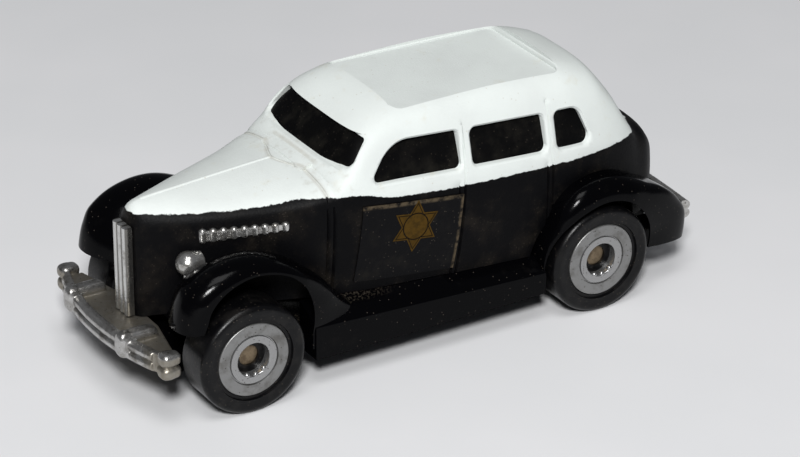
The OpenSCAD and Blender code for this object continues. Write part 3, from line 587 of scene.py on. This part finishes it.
def dark_glazing():
    clean, dusty, grain = (0.0012, 0.0012, 0.0013), (0.011, 0.01, 0.008), (0.03, 0.025, 0.02)
    look = Look("glazing", specular=0.06)
    fine = look.noise(8, 5)
    dust = look.times(look.step(look.noise(0.9, 5), 0.45, 0.8), 0.8)
    base = look.mix(look.specks(13, 0.04), look.mix(dust, clean, dusty), grain)
    return look.finished(base, look.range(fine, 0.45, 0.7), fine, 0.015)


def label_edge(look):
    """One along the label's rear and upper edges, where its print has worn off."""
    rear_x = LABEL_X - LABEL_W / 2
    top_z = LABEL_Z + LABEL_H / 2
    x, y, z = look.axes()
    along_x = look.minus(x, look.times(look.minus(LABEL_Z, z), LABEL_LEAN / LABEL_H))
    along_z = look.minus(z, look.times(look.minus(x, LABEL_X), LABEL_TILT))
    at_rear = look.step(along_x, rear_x + 0.16, rear_x + 0.04)
    at_top = look.step(along_z, top_z - 0.2, top_z - 0.08)
    return look.math("MAXIMUM", at_rear, at_top)


def label_film():
    clean, dusty, bare = (0.002, 0.002, 0.0025), (0.016, 0.014, 0.011), (0.085, 0.065, 0.04)
    look = Look("label_film", specular=0.09)
    fine = look.noise(7, 5)
    dust = look.times(look.step(look.noise(0.8, 6), 0.5, 0.85), 0.7)
    worn = look.times(label_edge(look), look.step(look.noise(2.5, 5), 0.35, 0.6))
    base = look.mix(look.times(worn, 0.8), look.mix(dust, clean, dusty), bare)
    base = look.mix(look.specks(13, 0.04), base, GRIME)
    return look.finished(base, look.range(fine, 0.35, 0.55), fine, 0.012)


def print_ink(name, colour, faded):
    look = Look(name, specular=0.06)
    base = look.mix(look.step(look.noise(4, 5), 0.4, 0.7), colour, faded)
    return look.finished(base, look.range(look.noise(8, 3), 0.4, 0.6), look.noise(9, 4), 0.008)


def finish(obj, material, slot, body, *nodes):
    """Gives a piece its material and its body, and hides the CAD nodes that it stands for. The slot is not
    used.
    """
    obj.data.materials.clear()
    obj.data.materials.append(material)
    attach(obj, body)
    if nodes:
        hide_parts(*nodes)


# Body

# Place and lean of the pairs of seam lines at the doors, and the spacing of a pair
DOOR_SEAMS = [(C_POST_X + 0.2, 0.0), (B_POST_X + 0.62, -0.09), (SCREEN_X + 1.1, -0.04)]
SEAM_PAIR = 0.3
SEAM_PIVOT_Z = 6
BONNET_SEAM_X = COWL_X + 0.2
BONNET_PEAK = 0.75
BONNET_PEAK_Y = 2
VENT_REAR_X = COWL_X - 0.3
VENT_HALF = 1.9

# Points of a half section below and above the belt
SIDE_POINTS = 14
CROWN_POINTS = 48

# Rays onto the body start farther out than any part of it
OUTSIDE = 20
DOWN = Vector((0, 0, -1))


def half_section(x, inset=0.0, top_inset=0.0, groove=0.0, groove_top=0.0):
    """Half width and height of points from sill to ridge, with a groove up to a height."""
    row = along(BODY_ROWS, x)
    sill, belt = row[ROW_SILL_Z], row[ROW_BELT_Z]
    heights = np.linspace(sill, belt, SIDE_POINTS + 1)[:-1]
    side = [(side_y(x, z) - inset - groove, z) for z in heights]
    u = np.linspace(0, 1, 500)
    a = np.concatenate([45 * u ** 3, 90 - 45 * (1 - u[1:]) ** 2]) * math.pi / 180
    t = np.sin(a) ** (2 / row[ROW_SHOULDER])
    y = (row[ROW_BELT_Y] - inset - row[ROW_LEAN] * t) * np.maximum(np.cos(a), 0) ** (2 / row[ROW_CROWN])
    z = belt + (row[ROW_TOP_Z] - top_inset - belt) * t
    crown = spread(np.column_stack([y, z]), CROWN_POINTS)
    return side + [(y - groove if z < groove_top else y, z) for y, z in crown]


def body_ring(x, groove, groove_top, lean):
    """Closed section of the body, which leans with the seam that it carries."""
    half = half_section(x, groove=groove, groove_top=groove_top)
    full = half + [(-y, z) for y, z in reversed(half[:-1])]
    return [(x + lean * (z - SEAM_PIVOT_Z), y, z) for y, z in full]


def body_places():
    """Places of the body's rings, with depth, top and lean of the grooves at the door seams.

    The rear line of a pair runs on up the window post."""
    spacing, clearance = 0.22, 0.42
    post_top = ROOF_Z - 1.5
    seams = []
    for seam_x, lean in DOOR_SEAMS:
        has_post = seam_x < COWL_X - 2
        for pair in (-1, 1):
            top = post_top if has_post and pair < 0 else 0.0
            for k in (-1, 0, 1):
                x = seam_x + pair * SEAM_PAIR / 2 + k * SEAM_W / 2
                seams.append((x, SEAM_DEPTH if k == 0 else 0.0, top, lean))
    plain = [NOSE_X]
    for a, b in zip(BODY_ROWS[:-1, 0], BODY_ROWS[1:, 0]):
        count = max(2, round((b - a) / spacing))
        plain.extend(a + (b - a) * k / count for k in range(count))
    clear = [x for x in plain if all(abs(x - seam_x) > clearance for seam_x, lean in DOOR_SEAMS)]
    return sorted([(x, 0.0, 0.0, 0.0) for x in clear] + seams)


def side_windows():
    """Corners of the side windows in X and Z, with their radii."""
    foot_z, foot_rise, height = 9.12, 0.063, 1.86
    post = 0.32
    door, door_slant = SCREEN_X - 1.05, 1.3
    quarter, quarter_slant = C_POST_X - 2.45, 0.7

    def low(x):
        return x, foot_z + foot_rise * (x - B_POST_X)

    def high(x):
        return x, low(x)[1] + height

    front = [low(door), low(B_POST_X + post), high(B_POST_X + post), high(door - door_slant)]
    middle = [low(B_POST_X - post), low(C_POST_X + post), high(C_POST_X + post), high(B_POST_X - post)]
    rear = [low(C_POST_X - post), low(quarter), high(quarter + quarter_slant), high(C_POST_X - post)]
    return [(front, (0.3, 0.3, 0.3, 1.9)), (middle, (0.35,) * 4), (rear, (0.3, 0.4, 0.75, 0.3))]


def pocket(tree, corners, radii, place, inward, depth, chamfer=0.12):
    """Cutter that follows the surface round an outline and widens toward its mouth.

    place turns an outline point into a point outside the body, and depth gives the cut's end."""
    skim, reach = 0.004, 1.2
    rings = [[], [], [], []]
    inner = rounded(corners, radii)
    outer = rounded(grown(corners, chamfer), [r + chamfer for r in radii])
    for p, q in zip(inner, outer):
        hit = tree.ray_cast(place(p), inward)[0]
        mouth = tree.ray_cast(place(q), inward)[0]
        if hit is None:
            hit = mouth
        if mouth is None:
            mouth = hit
        rings[0].append(depth(hit))
        rings[1].append(hit + inward * chamfer)
        rings[2].append(mouth - inward * skim)
        rings[3].append(mouth - inward * reach)
    return loft([[tuple(p) for p in ring] for ring in rings])


def window_cutters(tree):
    """Cutters of the side windows, the windscreen and the rear pane."""
    beside = 9
    side_depth, end_depth = 1.2, 1.5

    def cut(corners, radii, place, inward, depth):
        return pocket(tree, corners, radii, place, inward, lambda hit: hit + inward * depth)

    cutters = []
    for corners, radii in side_windows():
        left = cut(corners, radii, lambda p: Vector((p[0], beside, p[1])), Vector((0, -1, 0)), side_depth)
        cutters += [left, mirrored(left)]
    foot_y, head_y = BELT_Y - 0.8, BELT_Y - 1.2
    low, high = COWL_Z + 0.38, ROOF_Z - 1.29
    screen = [(-foot_y, low), (foot_y, low), (head_y, high), (-head_y, high)]
    cutters.append(cut(screen, (0.3,) * 4, lambda p: Vector((OUTSIDE, *p)), Vector((-1, 0, 0)), end_depth))
    half = 1.7
    low, high = ROOF_Z - 3.1, ROOF_Z - 1.75
    pane = [(-half, low), (half, low), (half, high), (-half, high)]
    cutters.append(cut(pane, (0.35,) * 4, lambda p: Vector((-OUTSIDE, *p)), Vector((1, 0, 0)), end_depth))
    return cutters


def body_shell():
    """Lofted body with windows, roof recess, wheel wells and the bonnet's seam cut in."""
    verts, faces = loft([body_ring(*place) for place in body_places()])
    tree = BVHTree.FromPolygons([Vector(v) for v in verts], faces)
    cutters = window_cutters(tree) + [roof_recess(tree), rear_well(1), rear_well(-1), bonnet_seam(tree)]
    shell = solid("body", (verts, faces))
    carved(shell, solid("cutters", joined(cutters)))
    shaded(shell.data, 50)
    weighted = shell.modifiers.new("even shading", "WEIGHTED_NORMAL")
    weighted.keep_sharp = True
    return shell


def roof_recess(tree):
    """Cutter of the shallow recess in the roof, whose floor falls a little toward the rear."""
    front, rear = SCREEN_X - 3.1, REAR_X + 0.95
    half = 3.15
    floor_z, least = ROOF_Z - 0.37, 0.12
    fall = math.tan(math.radians(1.9))

    def floor_at(hit):
        return Vector((hit.x, hit.y, min(floor_z + (hit.x - front) * fall, hit.z - least)))

    corners = [(front, -half), (front, half), (rear, half), (rear, -half)]
    return pocket(tree, corners, (0.5,) * 4, lambda p: Vector((*p, OUTSIDE)), DOWN, floor_at, chamfer=0.07)


def bonnet_seam(tree):
    """Thin groove across the body where the bonnet meets the cowl."""
    half = [(BONNET_SEAM_X, 4.2), (BONNET_SEAM_X, BONNET_PEAK_Y), (BONNET_SEAM_X + 0.55, 0.6)]
    peak = (BONNET_SEAM_X + BONNET_PEAK, 0)
    path = [(x, -y) for x, y in half] + [peak] + half[::-1]
    radius = 0.07
    rings = []
    for x, y in spread(path, 60):
        top = tree.ray_cast(Vector((x, y, OUTSIDE)), DOWN)[0]
        rings.append([(x + radius * math.cos(a), y, top.z + radius * math.sin(a)) for a in full_turn(8)])
    return loft(rings)


def cowl_vent():
    """Closed vent flap on the cowl, a little above it."""
    front = COWL_X + 0.42
    rise, sunk, edge, thick = 0.06, 0.05, 0.06, 0.2
    rings = []
    for x, lift in ((VENT_REAR_X, -sunk), (VENT_REAR_X + edge, rise), (front - edge, rise), (front, -sunk)):
        crown = half_section(x)[SIDE_POINTS:]
        sides, tops = np.array(crown[::-1]).T
        row = [(x, y, np.interp(abs(y), sides, tops) + lift) for y in np.linspace(-VENT_HALF, VENT_HALF, 25)]
        rings.append(row + [(x, y, z - thick) for x, y, z in reversed(row)])
    return solid("cowl_vent", loft(rings))


def bonnet_bead():
    """Thin raised bead along the middle of the bonnet."""
    rear, front = BONNET_SEAM_X + 0.78, NOSE_X - 0.75
    half, rise, sunk = 0.14, 0.05, 0.12
    rings = []
    for x in np.linspace(rear, front, 40):
        top = half_section(x)[-1][1]
        rings.append([(x, half * math.cos(a), top - sunk + (rise + sunk) * math.sin(a))
                      for a in np.linspace(0, math.pi, 9)])
    return solid("bonnet_bead", loft(rings))


def rear_well(side):
    """Room for a rear wheel in the body's lower side."""
    radius = WHEEL_R + 0.7
    inner_y, outer_y = 3.2, 7
    arch = [(REAR_X + radius * math.cos(a), AXLE_Z + radius * math.sin(a))
            for a in np.linspace(0, math.pi, 33)]
    arch += [(REAR_X - radius, 0), (REAR_X + radius, 0)]
    return loft([[(x, side * y, z) for x, z in arch] for y in (inner_y, outer_y)])


def glazing():
    """Dark insert under the skin from just below the belt up, deeper below the roof recess."""
    rear, front = TAIL_X + 2.2, SCREEN_X + 0.25
    roof_rear, roof_front = REAR_X + 0.5, SCREEN_X - 2.6
    places = [roof_rear - 1, roof_rear, roof_front, roof_front + 1]
    depths = [0.42, 0.95, 0.95, 0.2]
    foot_z = 7.6
    rings = []
    for x in np.linspace(rear, front, 60):
        under = half_section(x, WINDOW_DEPTH, np.interp(x, places, depths))
        half = [tuple(p) for p in spread([p for p in under if p[1] > foot_z], 40)]
        rings.append([(x, y, z) for y, z in half] + [(x, -y, z) for y, z in reversed(half[:-1])])
    return solid("glazing_panes", loft(rings))


def louvre_strips():
    """Ribbed silver bands on the bonnet's sides."""
    count = 9
    first, last = FRONT_X + 0.65, FRONT_X - 3.05
    top_z = BELT_Z - 0.27
    rib_r, rib_sunk = 0.19, 0.02
    band_edge, band_slope, band_lift, band_sunk = 0.1, 0.03, 0.07, 0.1

    def foot_z(x):
        return np.interp(x, [last, first], [BELT_Z - 0.77, BELT_Z - 1.03])

    parts = []
    for x in np.linspace(first, last, count):
        middle, half = (top_z + foot_z(x)) / 2, (top_z - foot_z(x)) / 2
        y = side_y(x, middle) - rib_sunk
        rings = []
        for v in np.linspace(-1, 1, 15):
            r = rib_r * math.sqrt(max(0.03, 1 - abs(v) ** 6))
            rings.append([(x + r * math.cos(a), y + r * math.sin(a), middle + v * half)
                          for a in full_turn(16)])
        parts.append(loft(rings))
    rings = []
    for x in np.linspace(first, last, 30):
        low, high = foot_z(x) + band_edge, top_z - band_edge
        band = [(low, -band_sunk), (low + band_slope, band_lift),
                (high - band_slope, band_lift), (high, -band_sunk)]
        rings.append([(x, side_y(x, z) + lift, z) for z, lift in band])
    parts.append(loft(rings))
    return solid("louvre_ribs", both_sides(joined(parts)))


# Fenders

def fender_profile(rows, angle, root_y, valley):
    """Outer and inner face of a fender at an angle, as radius and half width."""
    row = along(rows, angle)
    crown_r, crown_y, lip_r, lip_y = row[1:]
    core_r, skin, lip_t = 2.5, 0.35, 0.1
    well_y, well_r = TRACK_W / 2 - TYRE_W - 0.4, WHEEL_R + 0.2
    outer = []
    for y in np.linspace(root_y, crown_y, 14)[:-1]:
        s = (crown_y - y) / (crown_y - root_y)
        outer.append((max(crown_r - valley * s ** 2, core_r), y))
    for p in np.linspace(0, math.pi / 2, 22):
        outer.append((lip_r + (crown_r - lip_r) * math.cos(p), crown_y + (lip_y - crown_y) * math.sin(p)))
    inner = []
    for r, y in outer:
        s = max(0, (y - crown_y) / (lip_y - crown_y))
        depth = r - skin * (1 - s ** 2)
        inner.append((max(depth, well_r) if y > well_y else depth, y - lip_t * s))
    return outer, inner


def fender(rows, axle_x, root_y, valley):
    """Hollow fender lofted round its axle."""
    rings = []
    for angle in np.linspace(rows[0, 0], rows[-1, 0], 90):
        outer, inner = fender_profile(rows, angle, root_y, valley)
        c, s = math.cos(math.radians(angle)), math.sin(math.radians(angle))
        rings.append([(axle_x + r * c, y, AXLE_Z + r * s) for r, y in outer + inner[::-1]])
    return loft(rings)


def running_board():
    """Board between the fenders, which slopes from the body to a rounded outer edge."""
    rear, front = REAR_X + REAR_R - 0.2, FRONT_X - FRONT_R + 0.8
    fall_front, fall_l = FRONT_X - 4, FRONT_X - REAR_X - 7
    inner_y, least_w = BELT_Y - 0.87, 0.15
    edge_r = 0.14
    rings = []
    for x in np.linspace(rear, front, 40):
        low = along(BODY_ROWS, x)[ROW_SILL_Z] - 0.03
        edge_z = BOARD_Z - BOARD_FALL * (fall_front - x) / fall_l
        top_y = max(side_y(x, low + 0.1) + 0.02, inner_y + least_w)
        rise = math.atan2(low - edge_z, BOARD_Y - top_y)
        bend = [(BOARD_Y - edge_r + edge_r * math.cos(a), edge_z - edge_r + edge_r * math.sin(a))
                for a in np.linspace(0, math.pi / 2 - rise, 7)]
        section = [(BOARD_Y, GROUND_GAP)] + bend + [(top_y, low), (inner_y, low), (inner_y, GROUND_GAP)]
        rings.append([(x, y, z) for y, z in section])
    return loft(rings)


def arch_liner():
    """Inner walls beside and behind a rear wheel, from the base up into the body."""
    rear, high = REAR_X - 4.6, SILL_Z + 0.4
    beside = (REAR_X - 0.8, GROUND_GAP + 0.4, 2.75)
    behind = (REAR_X - WHEEL_R - 0.25, GROUND_GAP + 0.3, 4.2)
    wall_t = 0.2
    walls = []
    for front, low, y in (beside, behind):
        outline = [(rear, low), (front, low), (front, high), (rear, high)]
        walls.append(loft([[(x, face_y, z) for x, z in outline] for face_y in (y, y + wall_t)]))
    return joined(walls)


def fender_unit():
    """Fenders, running boards and arch walls in one piece, with the front fenders cut level ahead."""
    front = fender(FRONT_FENDER_ROWS, FRONT_X, root_y=1, valley=3.5)
    front = solid("fenders", both_sides(front))
    foot_z = AXLE_Z + 2.05
    foot_y, out_y = TRACK_W / 2 - TYRE_W - 0.6, 8
    ahead_x = FRONT_X + 9
    outline = [(FRONT_X, foot_y), (ahead_x, foot_y), (ahead_x, out_y), (FRONT_X, out_y)]
    foot = loft([[(x, y, z) for x, y in outline] for z in (0, foot_z)])
    carved(front, solid("feet", both_sides(foot)))
    rest = joined([fender(REAR_FENDER_ROWS, REAR_X, root_y=3.2, valley=0.2), running_board(), arch_liner()])
    rest = solid("rest", both_sides(rest))
    bm = bmesh.new()
    bm.from_mesh(front.data)
    bm.from_mesh(rest.data)
    bm.to_mesh(front.data)
    bm.free()
    bpy.data.objects.remove(rest)
    shaded(front.data, 40)
    return front


# Front bumper

def lump(centre, half, power):
    """Closed rounded block: a superellipsoid."""
    def bent(value):
        return math.copysign(abs(value) ** (2 / power), value)

    rings = []
    for v in np.radians(np.linspace(-87, 87, 15)):
        rings.append([(centre[0] + half[0] * bent(math.cos(v)) * bent(math.cos(a)),
                       centre[1] + half[1] * bent(math.cos(v)) * bent(math.sin(a)),
                       centre[2] + half[2] * bent(math.sin(v))) for a in full_turn(24)])
    return loft(rings)


def blade_x(y):
    """Place of the bumper's bowed face."""
    return BUMPER_FACE_X - BUMPER_BOW + math.sqrt(BUMPER_BOW ** 2 - y * y)


def blade(reach, rib):
    """Bowed strip with two rounded ribs on its face, when their height isn't zero."""
    root, back = 0.2, 0.5
    heights = np.linspace(BUMPER_Z, BUMPER_Z + BUMPER_H, 25)
    lifts = [rib * abs(math.sin(2 * math.pi * (z - BUMPER_Z) / BUMPER_H)) ** 0.6 for z in heights]
    rings = []
    for y in np.linspace(-reach, reach, 61):
        face = [(blade_x(y) - root + lift, y, z) for lift, z in zip(lifts, heights)]
        rings.append(face + [(blade_x(y) - back, y, heights[-1]), (blade_x(y) - back, y, heights[0])])
    return loft(rings)


def apron():
    """Plate between the blade and the nose, with its tongue under the body."""
    reach, tongue_y = BUMPER_W / 2 - 0.9, 2
    side_x, tongue_x = NOSE_X + 0.1, NOSE_X - 0.5
    top, thick = NOSE_SILL_Z - 0.05, 0.5
    rim = [(blade_x(y) - 0.35, y) for y in np.linspace(reach, -reach, 17)]
    outline = rim + [(side_x, -reach), (tongue_x, -tongue_y), (tongue_x, tongue_y), (side_x, reach)]
    return loft([[(x, y, z) for x, y in outline] for z in (top - thick, top)])


def front_bumper():
    """One soft-edged casting from blade, apron, ridges, overriders and end lumps."""
    middle_z, level = BUMPER_Z + BUMPER_H / 2, 0.33
    end_y = BUMPER_W / 2 - 0.45
    end_x = blade_x(end_y)
    overrider_y = 2.65
    ridge_rear = NOSE_X + 0.1
    ridge_half = (BUMPER_FACE_X - 0.4 - ridge_rear) / 2
    side = [
        lump((BUMPER_FACE_X - 0.36, overrider_y, middle_z + 0.22), (0.42, 0.4, 0.66), 3),
        lump((ridge_rear + ridge_half, overrider_y, middle_z + 0.2), (ridge_half + 0.15, 0.36, 0.64), 5),
    ]
    for z in (middle_z - level, middle_z + level):
        side.append(lump((end_x - 0.38, end_y, z), (0.44, 0.45, 0.35), 2.8))
        side.append(lump((end_x - 0.55, end_y + 0.02, z), (0.45, 0.4, 0.32), 3))
    parts = [blade(end_y, 0), blade(end_y - 0.6, 0.2), apron(), both_sides(joined(side))]
    cast = solid("bumper_casting", joined(parts))
    remesh = cast.modifiers.new("one skin", "REMESH")
    remesh.mode = "VOXEL"
    remesh.voxel_size = 0.04 * MM
    remesh.use_smooth_shade = True
    soften = cast.modifiers.new("soft edges", "SMOOTH")
    soften.factor = 0.5
    soften.iterations = 3
    return applied(cast)


# Wheels

def arc(centre_r, centre_d, radius, start, end, steps):
    """Points of a profile's rounded edge, between two angles in degrees."""
    return [(centre_r + radius * math.cos(a), centre_d + radius * math.sin(a))
            for a in np.radians(np.linspace(start, end, steps))]


def wheel_profile():
    """Radius and depth round a tyre's section, from the bore's inner end."""
    seat_r, seat_d = HUB_R + 0.03, -HUB_T - HUB_SET
    ring_r, ring_d = seat_r + 0.15, -0.15
    step_r, step_w = WHEEL_R - 0.3, 0.3
    edge_r, shoulder_r, dish = 0.06, 0.3, 0.03
    inner_step = arc(step_r - edge_r, -TYRE_W + edge_r, edge_r, -90, 0, 4) + [(step_r, -TYRE_W + step_w)]
    tread = (arc(WHEEL_R - edge_r, -TYRE_W + step_w + edge_r, edge_r, -90, 0, 4)
             + arc(WHEEL_R - shoulder_r, -shoulder_r, shoulder_r, 0, 90, 12))
    face = [(WHEEL_R - 0.45, -dish / 2), (WHEEL_R - 0.6, -dish), (ring_r + 0.02, -dish)]
    seat = [(ring_r, ring_d), (seat_r, ring_d), (seat_r, seat_d), (AXLE_R, seat_d)]
    return [(AXLE_R, -TYRE_W)] + inner_step + tread + face + seat


def hub_profile():
    """Radius and depth round a hub's section, with a groove in its face."""
    face, back = -HUB_SET, -HUB_SET - HUB_T
    groove_w, floor_w, groove_t = 0.05, 0.02, 0.09
    rim_r, hole_r = 0.06, 0.09
    groove = [(HUB_GROOVE_R + groove_w, face), (HUB_GROOVE_R + floor_w, face - groove_t),
              (HUB_GROOVE_R - floor_w, face - groove_t), (HUB_GROOVE_R - groove_w, face)]
    return ([(HUB_HOLE_R, back), (HUB_R, back)] + arc(HUB_R - rim_r, face - rim_r, rim_r, 0, 90, 5)
            + groove + arc(HUB_HOLE_R + hole_r, face - hole_r, hole_r, 90, 180, 6))


def hub_crimps(axle_x, side):
    """Three small bright lumps low in the hub's hole, where the axle is held."""
    size, depth = 0.15, 0.12
    reach = HUB_HOLE_R + 0.02
    y = side * (TRACK_W / 2 - HUB_SET - depth)
    parts = []
    for a in np.radians((-131, -98, -67)):
        centre = (axle_x + reach * math.cos(a), y, AXLE_Z + reach * math.sin(a))
        parts.append(lump(centre, (size, size, size), 2))
    return joined(parts)


# Door labels

def on_door(x, z, lift):
    """A point above the door's left side."""
    return x, side_y(x, z) + lift, z


def label_sheet():
    """Thin sheet that follows a door."""
    steps = 28
    face, back = 0.075, 0.015
    shares = [k / steps - 0.5 for k in range(steps + 1)]

    def spot(u, v, lift):
        x = LABEL_X + LABEL_W * u - LABEL_LEAN * v
        z = LABEL_Z + LABEL_H * v + LABEL_W * u * LABEL_TILT
        return on_door(x, z, lift)

    return loft([[spot(u, v, face) for v in shares] + [spot(u, v, back) for v in reversed(shares)]
                 for u in shares])


def star_outline(radius, count=6, waist=0.577):
    """Star corners on the door, from the centre's place."""
    points = []
    for k in range(2 * count):
        r = radius if k % 2 == 0 else radius * waist
        a = math.pi / 2 + math.pi * k / count + STAR_TURN
        points.append((STAR_X + r * math.cos(a), STAR_Z + r * math.sin(a)))
    return points


def flat_print(outline, hole, lift, bands=1):
    """Ink between two outlines of equal length, on the label."""
    outer, inner = np.array(outline), np.array(hole)
    count = len(outer)
    rings = [outer + (inner - outer) * k / bands for k in range(bands + 1)]
    verts = [on_door(x, z, lift) for ring in rings for x, z in ring]
    return verts, grid_faces(bands + 1, count)


def on_sides(outline, per_side=6):
    """An outline's corners with more points along its sides."""
    out = []
    for i, a in enumerate(outline):
        b = outline[(i + 1) % len(outline)]
        out.extend((a[0] + (b[0] - a[0]) * k / per_side, a[1] + (b[1] - a[1]) * k / per_side)
                   for k in range(per_side))
    return out


def circle(radius):
    """Ring of points round the star's centre."""
    return [(STAR_X + radius * math.cos(a), STAR_Z + radius * math.sin(a)) for a in full_turn(48)]


def star_fill():
    """Gold ink of the star, drawn in to a point-sized star in its middle."""
    return flat_print(on_sides(star_outline(STAR_R)), on_sides(star_outline(0.02)), INK_LIFT, bands=10)


def star_lines():
    """Dark outline inside the star, and the ring round its middle."""
    outer, inner = star_outline(STAR_R * 0.9), star_outline(STAR_R * 0.84)
    edge = flat_print(on_sides(outer), on_sides(inner), LINE_LIFT)
    ring = flat_print(circle(RING_R), circle(RING_R - RING_T), LINE_LIFT)
    return joined([edge, ring])


# Assembly

paint = body_paint()
gloss = gloss_black()
silver = silver_trim()
foil = hub_foil()
tyre = wheel_black()
wire = plain_metal("axle_wire", colour=(0.26, 0.2, 0.13), dark=(0.15, 0.11, 0.07), roughness=0.45)
rivet = plain_metal("rivet_metal", colour=(0.55, 0.55, 0.56), dark=(0.35, 0.34, 0.33), roughness=0.35)

finish(body_shell(), paint, "body_paint", "body", "body_shell")
finish(louvre_strips(), silver, "silver_trim", "body")
finish(cowl_vent(), paint, "body_paint", "body")
finish(bonnet_bead(), paint, "body_paint", "body")
finish(front_bumper(), dirty_silver(), "silver_trim", "body", "front_bumper")
finish(glazing(), dark_glazing(), "glazing", "body", "glazing_insert")
finish(fender_unit(), gloss, "chassis_black", "body", "fender_unit")

for end, axle_x in (("front", FRONT_X), ("rear", REAR_X)):
    for side_name, side in (("left", 1), ("right", -1)):
        name = f"{end}_{side_name}"
        wheel = solid(f"tyre_{name}", lathe(wheel_profile(), axle_x, side), smooth=35)
        finish(wheel, tyre, "wheel_black", f"{end}_wheelset", f"wheel_{name}")
        disc = solid(f"hub_disc_{name}", lathe(hub_profile(), axle_x, side), smooth=35)
        finish(disc, foil, "hub_foil", f"{end}_wheelset", f"hub_{name}")
        crimps = solid(f"hub_crimps_{name}", hub_crimps(axle_x, side))
        finish(crimps, foil, "hub_foil", f"{end}_wheelset")

film = label_film()
gold = print_ink("star_gold", colour=(0.058, 0.031, 0.004), faded=(0.036, 0.02, 0.003))
outline_ink = print_ink("star_outline", colour=(0.003, 0.002, 0.001), faded=(0.009, 0.006, 0.002))
for side_name, turn in (("left", lambda part: part), ("right", mirrored)):
    sheet = solid(f"label_{side_name}", turn(label_sheet()))
    finish(sheet, film, "label_film", "body", f"door_label_{side_name}")
    finish(mesh_object(f"label_star_{side_name}", *turn(star_fill())), gold, "label_film", "body")
    finish(mesh_object(f"label_lines_{side_name}", *turn(star_lines())), outline_ink, "label_film", "body")

for node, material in (
    ("base_plate", gloss), ("rear_bumper", silver), ("grille", grille_silver()),
    ("headlamp_left", silver), ("headlamp_right", silver), ("front_axle", wire), ("rear_axle", wire),
    ("chassis_rivets", rivet),
):
    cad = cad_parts[node]
    cad.data.materials.clear()
    cad.data.materials.append(material)


# Stage, light and camera

def floor():
    """Pale table top."""
    reach = 400
    pale, paler = (0.66, 0.665, 0.675), (0.69, 0.69, 0.70)
    look = Look("floor", roughness=0.7, specular=0.2)
    tone = look.mix(look.step(look.noise(0.05, 3), 0.3, 0.7), pale, paler)
    look.put(look.shader, {"Base Color": tone})
    corners = [(-reach, -reach, 0), (reach, -reach, 0), (reach, reach, 0), (-reach, reach, 0)]
    plane = mesh_object("floor", corners, [(0, 1, 2, 3)])
    plane.data.materials.append(look.material)


def lamp(name, place, aim, size, power):
    """Square area lamp, placed and sized in millimetres."""
    light = bpy.data.lights.new(name, "AREA")
    light.size = size * MM
    light.energy = power
    obj = bpy.data.objects.new(name, light)
    obj.location = Vector(place) * MM
    obj.rotation_euler = (Vector(place) - Vector(aim)).to_track_quat("Z", "Y").to_euler()
    bpy.context.scene.collection.objects.link(obj)


def camera():
    """Camera at the photograph's place, in millimetres, as fitted to the wheels."""
    place = Vector((79.105, 129.73, 81.57))
    azimuth, elevation, roll = math.radians(58.235), math.radians(26.912), math.radians(-0.305)
    focal_px, photo_w_px = 3461.16, 800
    toward = Vector((math.cos(elevation) * math.cos(azimuth), math.cos(elevation) * math.sin(azimuth),
                     math.sin(elevation)))
    right = (-toward).cross(Vector((0, 0, 1))).normalized()
    down = (-toward).cross(right)
    across = math.cos(roll) * right + math.sin(roll) * down
    down = -math.sin(roll) * right + math.cos(roll) * down
    turn = Matrix((across, -down, toward)).transposed()
    made = bpy.data.cameras.new("camera")
    made.sensor_width = 36
    made.lens = made.sensor_width * focal_px / photo_w_px
    made.clip_start = 0.005
    obj = bpy.data.objects.new("camera", made)
    obj.matrix_world = Matrix.Translation(place * MM) @ turn.to_4x4()
    bpy.context.scene.collection.objects.link(obj)
    bpy.context.scene.camera = obj


def studio():
    """A flash high behind the camera, a soft box overhead and a faint sky."""
    middle = (0, 0, 5)
    world = bpy.data.worlds.new("studio")
    world.use_nodes = True
    background = world.node_tree.nodes["Background"]
    background.inputs["Color"].default_value = (0.9, 0.93, 1, 1)
    background.inputs["Strength"].default_value = 0.1
    bpy.context.scene.world = world
    lamp("flash", (142, 228, 226), middle, size=55, power=1.24)
    lamp("soft box", (54, 86, 260), middle, size=120, power=0.27)
    bpy.context.scene.view_settings.view_transform = "Standard"


floor()
camera()
studio()
